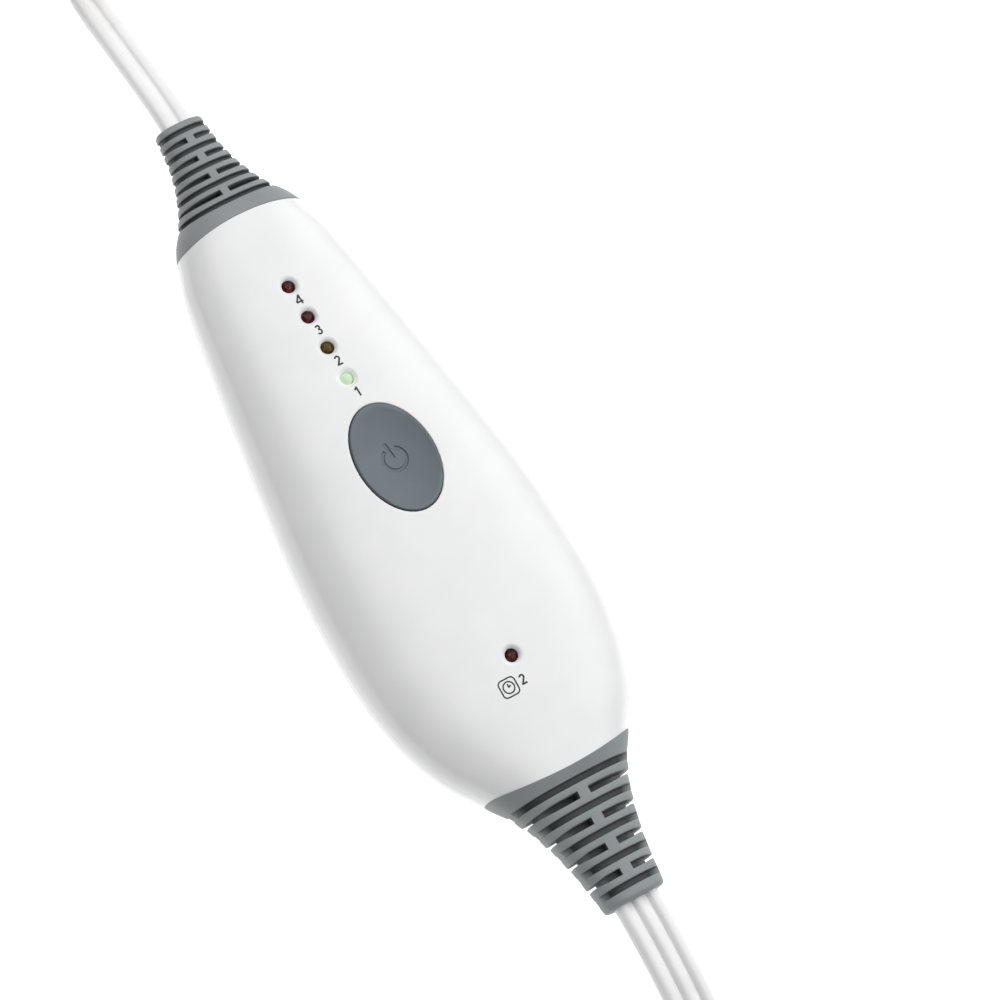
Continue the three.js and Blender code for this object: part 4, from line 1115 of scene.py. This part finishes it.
gloss_white = moulded(
    "gloss_white", (0.835, 0.838, 0.842), (0.86, 0.862, 0.865), (0.2, 0.27), (1.6, 0.004),
    Coat_Weight=0.25, Coat_Roughness=0.08, Emission_Strength=1.0,
)
near_lamp = [(vertex.co / MM - LIT_LAMP).length for vertex in casing_front.data.vertices]
remember(casing_front, "lamp_light", [1 - smoothstep(distance, *LIT_REACH) for distance in near_lamp])
glow = gloss_white.node("ShaderNodeAttribute", {}, attribute_name="lamp_light")["Fac"]
gloss_white.colour(glow, (0, 0, 0), DISH_GLOW, socket="Emission Color", ends=(0.0, 1.0))
button_matt = moulded("button_matt", (0.108, 0.136, 0.154), (0.12, 0.149, 0.168), (0.42, 0.5), (0.16, 0.006))
# The last colour is the painted shade deep in the grooves.
sleeve_rubber = rubber_with_painted_shade(
    "sleeve_rubber", (0.243, 0.266, 0.275), (0.268, 0.291, 0.3), (0.5, 0.62), (0.22, 0.012),
    (0.054, 0.06, 0.064),
)
paint(gloss_white, casing_front, casing_back)
paint(sleeve_rubber, mains_sleeve, pad_sleeve)
paint(button_matt, power_cap)
print("painted the casing, the sleeves and the button")

# %% [markdown]
# An unlit lamp is dark, tinted and cloudy, with lighter spots scattered at random that are painted
# highlights for the glints in its cloudy plastic. The lit one glows, and is deeper in colour over the
# chip. That is a round gradient about the lens's top, in coordinates that run from 0 to 1 over the lens.

# %% Lamp lenses
LENS_ROUGH = 0.3
CLOUDS = 0.7
CLOUD_ENDS = (0.42, 0.68)
LENS_GRAIN = (0.6, 0.03)
HEART_ENDS = (0.4, 0.9)
ABOUT_TOP = {"Location": (-1.0, -1.0, -2.0), "Scale": (2.0, 2.0, 2.0)}


def dark_lens(name, rim, spots):
    finish = Finish(name, Roughness=LENS_ROUGH, Specular_IOR_Level=0.2)
    size, depth = LENS_GRAIN
    # The lighter spots are painted highlights, scattered at random.
    finish.colour(finish.noise(CLOUDS), rim, spots, ends=CLOUD_ENDS)
    finish.grain(finish.noise(size), depth)
    return finish


def lit_lens(name, rim, heart, glow):
    finish = Finish(name, Roughness=LENS_ROUGH, Emission_Strength=glow)
    place = finish.node("ShaderNodeMapping", {"Vector": finish.place("Generated"), **ABOUT_TOP})["Vector"]
    gradient = finish.node("ShaderNodeTexGradient", {"Vector": place}, gradient_type="SPHERICAL")["Fac"]
    for socket in ("Base Color", "Emission Color"):
        finish.colour(gradient, rim, heart, socket=socket, ends=HEART_ENDS)
    return finish


# The second colour of each dark lens is its painted highlight.
lens_red = dark_lens("lens_red", (0.018, 0.002, 0.003), (0.14, 0.024, 0.022))
lens_amber = dark_lens("lens_amber", (0.03, 0.018, 0.003), (0.15, 0.09, 0.014))
lens_green = lit_lens("lens_green", (0.5, 0.62, 0.46), (0.44, 0.6, 0.38), glow=0.3)
paint(lens_red, heat_lenses[0], heat_lenses[1], timer_lens)
paint(lens_amber, heat_lenses[2])
paint(lens_green, heat_lenses[3])
print("lenses: three red, one amber, one lit green")

# %% [markdown]
# Cords, plug and connector are satin vinyl, a little warmer than the casing. The ties and the print are
# black. Metal pieces have fine streaks along their length, from noise that is drawn out.

# %% Cords, ties, print and metal
STREAKS = 0.3
STREAK_DEPTH = 0.006


def metal(name, dark, light, rough, stretch):
    finish = Finish(name, Metallic=1.0)
    streaks = finish.noise(STREAKS, stretch=stretch)
    finish.colour(streaks, dark, light)
    finish.roughness(streaks, *rough)
    finish.grain(streaks, STREAK_DEPTH)
    return finish


cord_vinyl = moulded("cord_vinyl", (0.86, 0.86, 0.862), (0.9, 0.9, 0.902), (0.33, 0.42), (0.5, 0.006))
strap_black = moulded("strap_black", (0.018, 0.018, 0.02), (0.03, 0.03, 0.033), (0.5, 0.65), (0.3, 0.02))
print_black = moulded("print_black", (0.012, 0.012, 0.014), (0.02, 0.02, 0.022), (0.45, 0.55), (0.2, 0.002))
plated_steel = metal("plated_steel", (0.5, 0.51, 0.53), (0.62, 0.63, 0.65), (0.25, 0.4), (1, 1, 0.1))
bright_brass = metal("bright_brass", (0.62, 0.47, 0.2), (0.75, 0.58, 0.28), (0.2, 0.34), (1, 0.06, 1))
paint(cord_vinyl, mains_flex, pad_flex, plug, connector)
paint(strap_black, mains_tie, pad_tie)
paint(print_black, clock_mark, *numbers)
paint(plated_steel, *case_screws)
paint(bright_brass, *blades, *contacts)
print("painted the cords and what is on them, the print and the metal")

# %% [markdown]
# The pieces inside the casing keep their CAD shapes, and each gets the finish that such a part has. The
# board's green lacquer shows the copper under it as a faint net of lines.

# %% Inner pieces
NET_CELL = 4.0
NET_ENDS = (0.05, 0.12)
board_lacquer = Finish("board_lacquer", Roughness=0.35)
cells = {"Vector": board_lacquer.place(), "Scale": 1 / (NET_CELL * MM)}
net = board_lacquer.node("ShaderNodeTexVoronoi", cells, feature="DISTANCE_TO_EDGE")["Distance"]
board_lacquer.colour(net, (0.05, 0.2, 0.07), (0.025, 0.12, 0.04), ends=NET_ENDS)
glass = Finish("fuse_glass", Transmission_Weight=0.7, IOR=1.47)
glass.colour(glass.noise(3.0), (0.8, 0.86, 0.86), (0.88, 0.92, 0.92))
glass.roughness(glass.noise(2.0), 0.06, 0.14)
part_black = moulded("part_black", (0.012, 0.012, 0.013), (0.022, 0.022, 0.024), (0.45, 0.6), (0.25, 0.01))
sleeve_blue = moulded("sleeve_blue", (0.018, 0.045, 0.15), (0.026, 0.06, 0.18), (0.25, 0.35), (0.5, 0.004))
box_yellow = moulded("box_yellow", (0.6, 0.43, 0.04), (0.68, 0.5, 0.06), (0.4, 0.5), (0.3, 0.006))
coat_beige = moulded("coat_beige", (0.52, 0.42, 0.25), (0.6, 0.49, 0.3), (0.45, 0.6), (0.3, 0.01))
INNER = {
    board_lacquer: ["circuit_board"],
    glass: ["fuse"],
    part_black: [
        "switch_body", "switch_plunger", "microcontroller", "triac", "timer_led_spacer",
        *(f"led_spacer_{i}" for i in (1, 2, 3, 4)),
    ],
    sleeve_blue: ["electrolytic_capacitor", "varistor"],
    box_yellow: ["x_capacitor"],
    coat_beige: ["dropper_resistor"],
    cord_vinyl: [*(f"mains_wire_{i}" for i in (1, 2)), *(f"pad_wire_{i}" for i in (1, 2, 3))],
    plated_steel: ["board_screw_1", "board_screw_2"],
}
for finish, nodes in INNER.items():
    paint(finish, *(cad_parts[node] for node in nodes))
print("inner pieces painted:", sum(len(nodes) for nodes in INNER.values()))

# %% [markdown]
# The product lies on a white light table: light from below keeps the floor white with hardly a shadow,
# and lifts the lower edge of the casing's side. One large soft panel hangs over it, a little to its
# right, in a room that is dark otherwise. The panel could be an area lamp. Here it is part of the world,
# as a ramp over the angle from its middle, because its edge can then fade as softly as the grey band on
# the glossy side shows. A weak softbox on the right keeps that side from going grey.

# %% Floor and light
FLOOR_HALF = 3.0
FLOOR_DROP = 0.0002
FLOOR_GLOW = 1.1
PANEL_WHITE = (1.0, 1.0, 1.0)
ROOM_GREY = (0.06, 0.06, 0.061)
PANEL_AXIS = (0.4, 0.22, 0.89)  # direction of the panel's middle
PANEL_EDGE = (0.6, 0.9)  # cosines from its middle where it fades in and is full
PANEL_STRENGTH = 2.15
KEY_PLACE = Vector((1.2, 0.5, 0.75))
KEY_SIZE = 1.0
KEY_POWER = 0.9


def light_table():
    mesh = bpy.data.meshes.new("light_table")
    corners = [(u * FLOOR_HALF, v * FLOOR_HALF, -FLOOR_DROP) for u, v in CORNERS]
    mesh.from_pydata(corners, [], [(0, 1, 2, 3)])
    table = new_object("light_table", mesh)
    finish = Finish("table_white", Emission_Color=(1, 1, 1, 1), Emission_Strength=FLOOR_GLOW)
    finish.colour(finish.noise(300.0), (0.36, 0.36, 0.36), (0.38, 0.38, 0.38))
    finish.roughness(finish.noise(80.0), 0.65, 0.75)
    paint(finish, table)


def room():
    world = bpy.data.worlds.new("white_room")
    world.use_nodes = True
    chain = Chain(world.node_tree)
    place = chain.node("ShaderNodeTexCoord", {})["Generated"]
    pair = {0: place, 1: PANEL_AXIS}
    towards = chain.node("ShaderNodeVectorMath", pair, operation="DOT_PRODUCT")["Value"]
    background = chain.tree.nodes["Background"].inputs
    chain.put(chain.ramp(towards, PANEL_EDGE, (ROOM_GREY, PANEL_WHITE), "EASE"), background["Color"])
    chain.put(PANEL_STRENGTH, background["Strength"])
    bpy.context.scene.world = world


def softbox(name, place, size, power):
    data = bpy.data.lights.new(name, "AREA")
    data.shape = "DISK"
    data.size = size
    data.energy = power
    light = new_object(name, data)
    light.location = place
    light.rotation_euler = (-place).to_track_quat("-Z", "Y").to_euler()


light_table()
room()
softbox("key_light", KEY_PLACE, KEY_SIZE, KEY_POWER)
bpy.context.scene.view_settings.view_transform = "Standard"
print("floor, room and one soft light")
